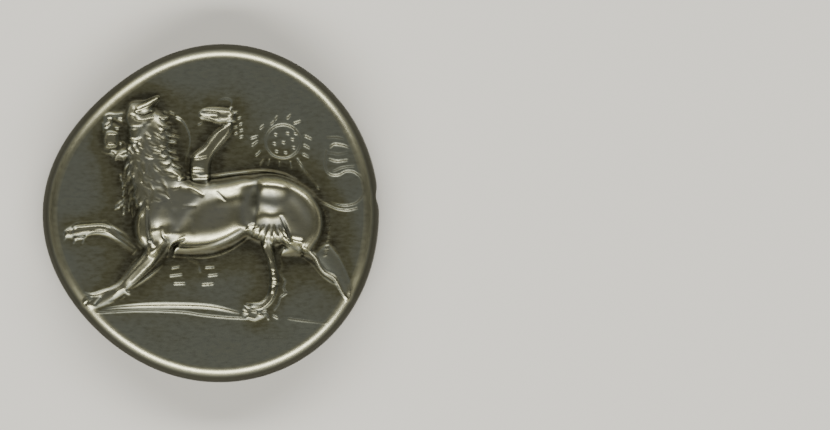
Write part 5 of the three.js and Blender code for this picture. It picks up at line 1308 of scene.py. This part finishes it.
# Mottling and grain stand up from the surface by hundredths of a millimetre, and scratches cut into it
height = mottling
for source, amount in [(grain, 0.35), (scratches, -0.5)]:
    height = add_node(tree, MATH, {0: source, 1: amount, 2: height}, operation="MULTIPLY_ADD")
bump = add_node(tree, "ShaderNodeBump", {"Height": height, "Strength": 0.2, "Distance": 0.012 * MM})
for name, source in [("Base Color", tone), ("Roughness", roughness), ("Normal", bump)]:
    tree.links.new(source, surface.inputs[name])

thinned.materials.clear()
thinned.materials.append(silver)
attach(coin, "root")
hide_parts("coin")

# Matt board that the coin is photographed on. It is plain and pale and isn't part of the coin.

FLOOR_HALF = 2.0
BOARD_WHITE = "dedcd6"
floor_mesh = new_mesh("floor", np.array([
    (-FLOOR_HALF, -FLOOR_HALF, 0), (FLOOR_HALF, -FLOOR_HALF, 0),
    (FLOOR_HALF, FLOOR_HALF, 0), (-FLOOR_HALF, FLOOR_HALF, 0),
]), np.array([[0, 1, 2, 3]]))
floor = bpy.data.objects.new("floor", floor_mesh)
bpy.context.scene.collection.objects.link(floor)
board = bpy.data.materials.new("matt_white_board")
board.use_nodes = True
for name, value in [("Base Color", srgb(BOARD_WHITE)), ("Roughness", 0.95), ("Specular IOR Level", 0.1)]:
    board.node_tree.nodes["Principled BSDF"].inputs[name].default_value = value
floor_mesh.materials.append(board)

# Studio light: two long soft boxes, beyond the coin's top and below its foot, and a dim grey room. Their
# light comes in low, so that it catches the slopes of the relief and leaves the flat field grey.

SOFT_BOX_DISTANCE = 0.34
SOFT_BOX_LENGTH, SOFT_BOX_WIDTH = 0.6, 0.1
BOX_WHITE, ROOM_GREY = "fffdf6", "9a9b98"
ROOM_STRENGTH = 0.18
for name, side, low_angle, watts in [("box_below", -1, 55, 2.5), ("box_above", 1, 57, 2.3)]:
    lamp = bpy.data.lights.new(name, "AREA")
    lamp.shape = "RECTANGLE"
    lamp.size, lamp.size_y = SOFT_BOX_LENGTH, SOFT_BOX_WIDTH
    lamp.energy = watts
    lamp.color = srgb(BOX_WHITE)[:3]
    soft_box = bpy.data.objects.new(name, lamp)
    slant = math.radians(low_angle)
    soft_box.location = (
        0, side * SOFT_BOX_DISTANCE * math.sin(slant), SOFT_BOX_DISTANCE * math.cos(slant),
    )
    soft_box.rotation_euler = (-side * slant, 0, 0)
    soft_box.visible_camera = False
    bpy.context.scene.collection.objects.link(soft_box)

room = bpy.data.worlds.new("dim_room")
room.use_nodes = True
room.node_tree.nodes["Background"].inputs["Color"].default_value = srgb(ROOM_GREY)
room.node_tree.nodes["Background"].inputs["Strength"].default_value = ROOM_STRENGTH
bpy.context.scene.world = room

# Camera: a long lens straight above the place that is the middle of the picture

PICTURE_MIDDLE = (14.614 * MM, -0.136 * MM)
PICTURE_WIDTH = 59.286 * MM
CAMERA_HEIGHT = 0.7
SENSOR_WIDTH = 36
lens_data = bpy.data.cameras.new("camera")
lens_data.sensor_width = SENSOR_WIDTH
lens_data.lens = SENSOR_WIDTH * (CAMERA_HEIGHT - COIN_THICKNESS * MM) / PICTURE_WIDTH
camera = bpy.data.objects.new("camera", lens_data)
camera.location = (*PICTURE_MIDDLE, CAMERA_HEIGHT)
bpy.context.scene.collection.objects.link(camera)
bpy.context.scene.camera = camera
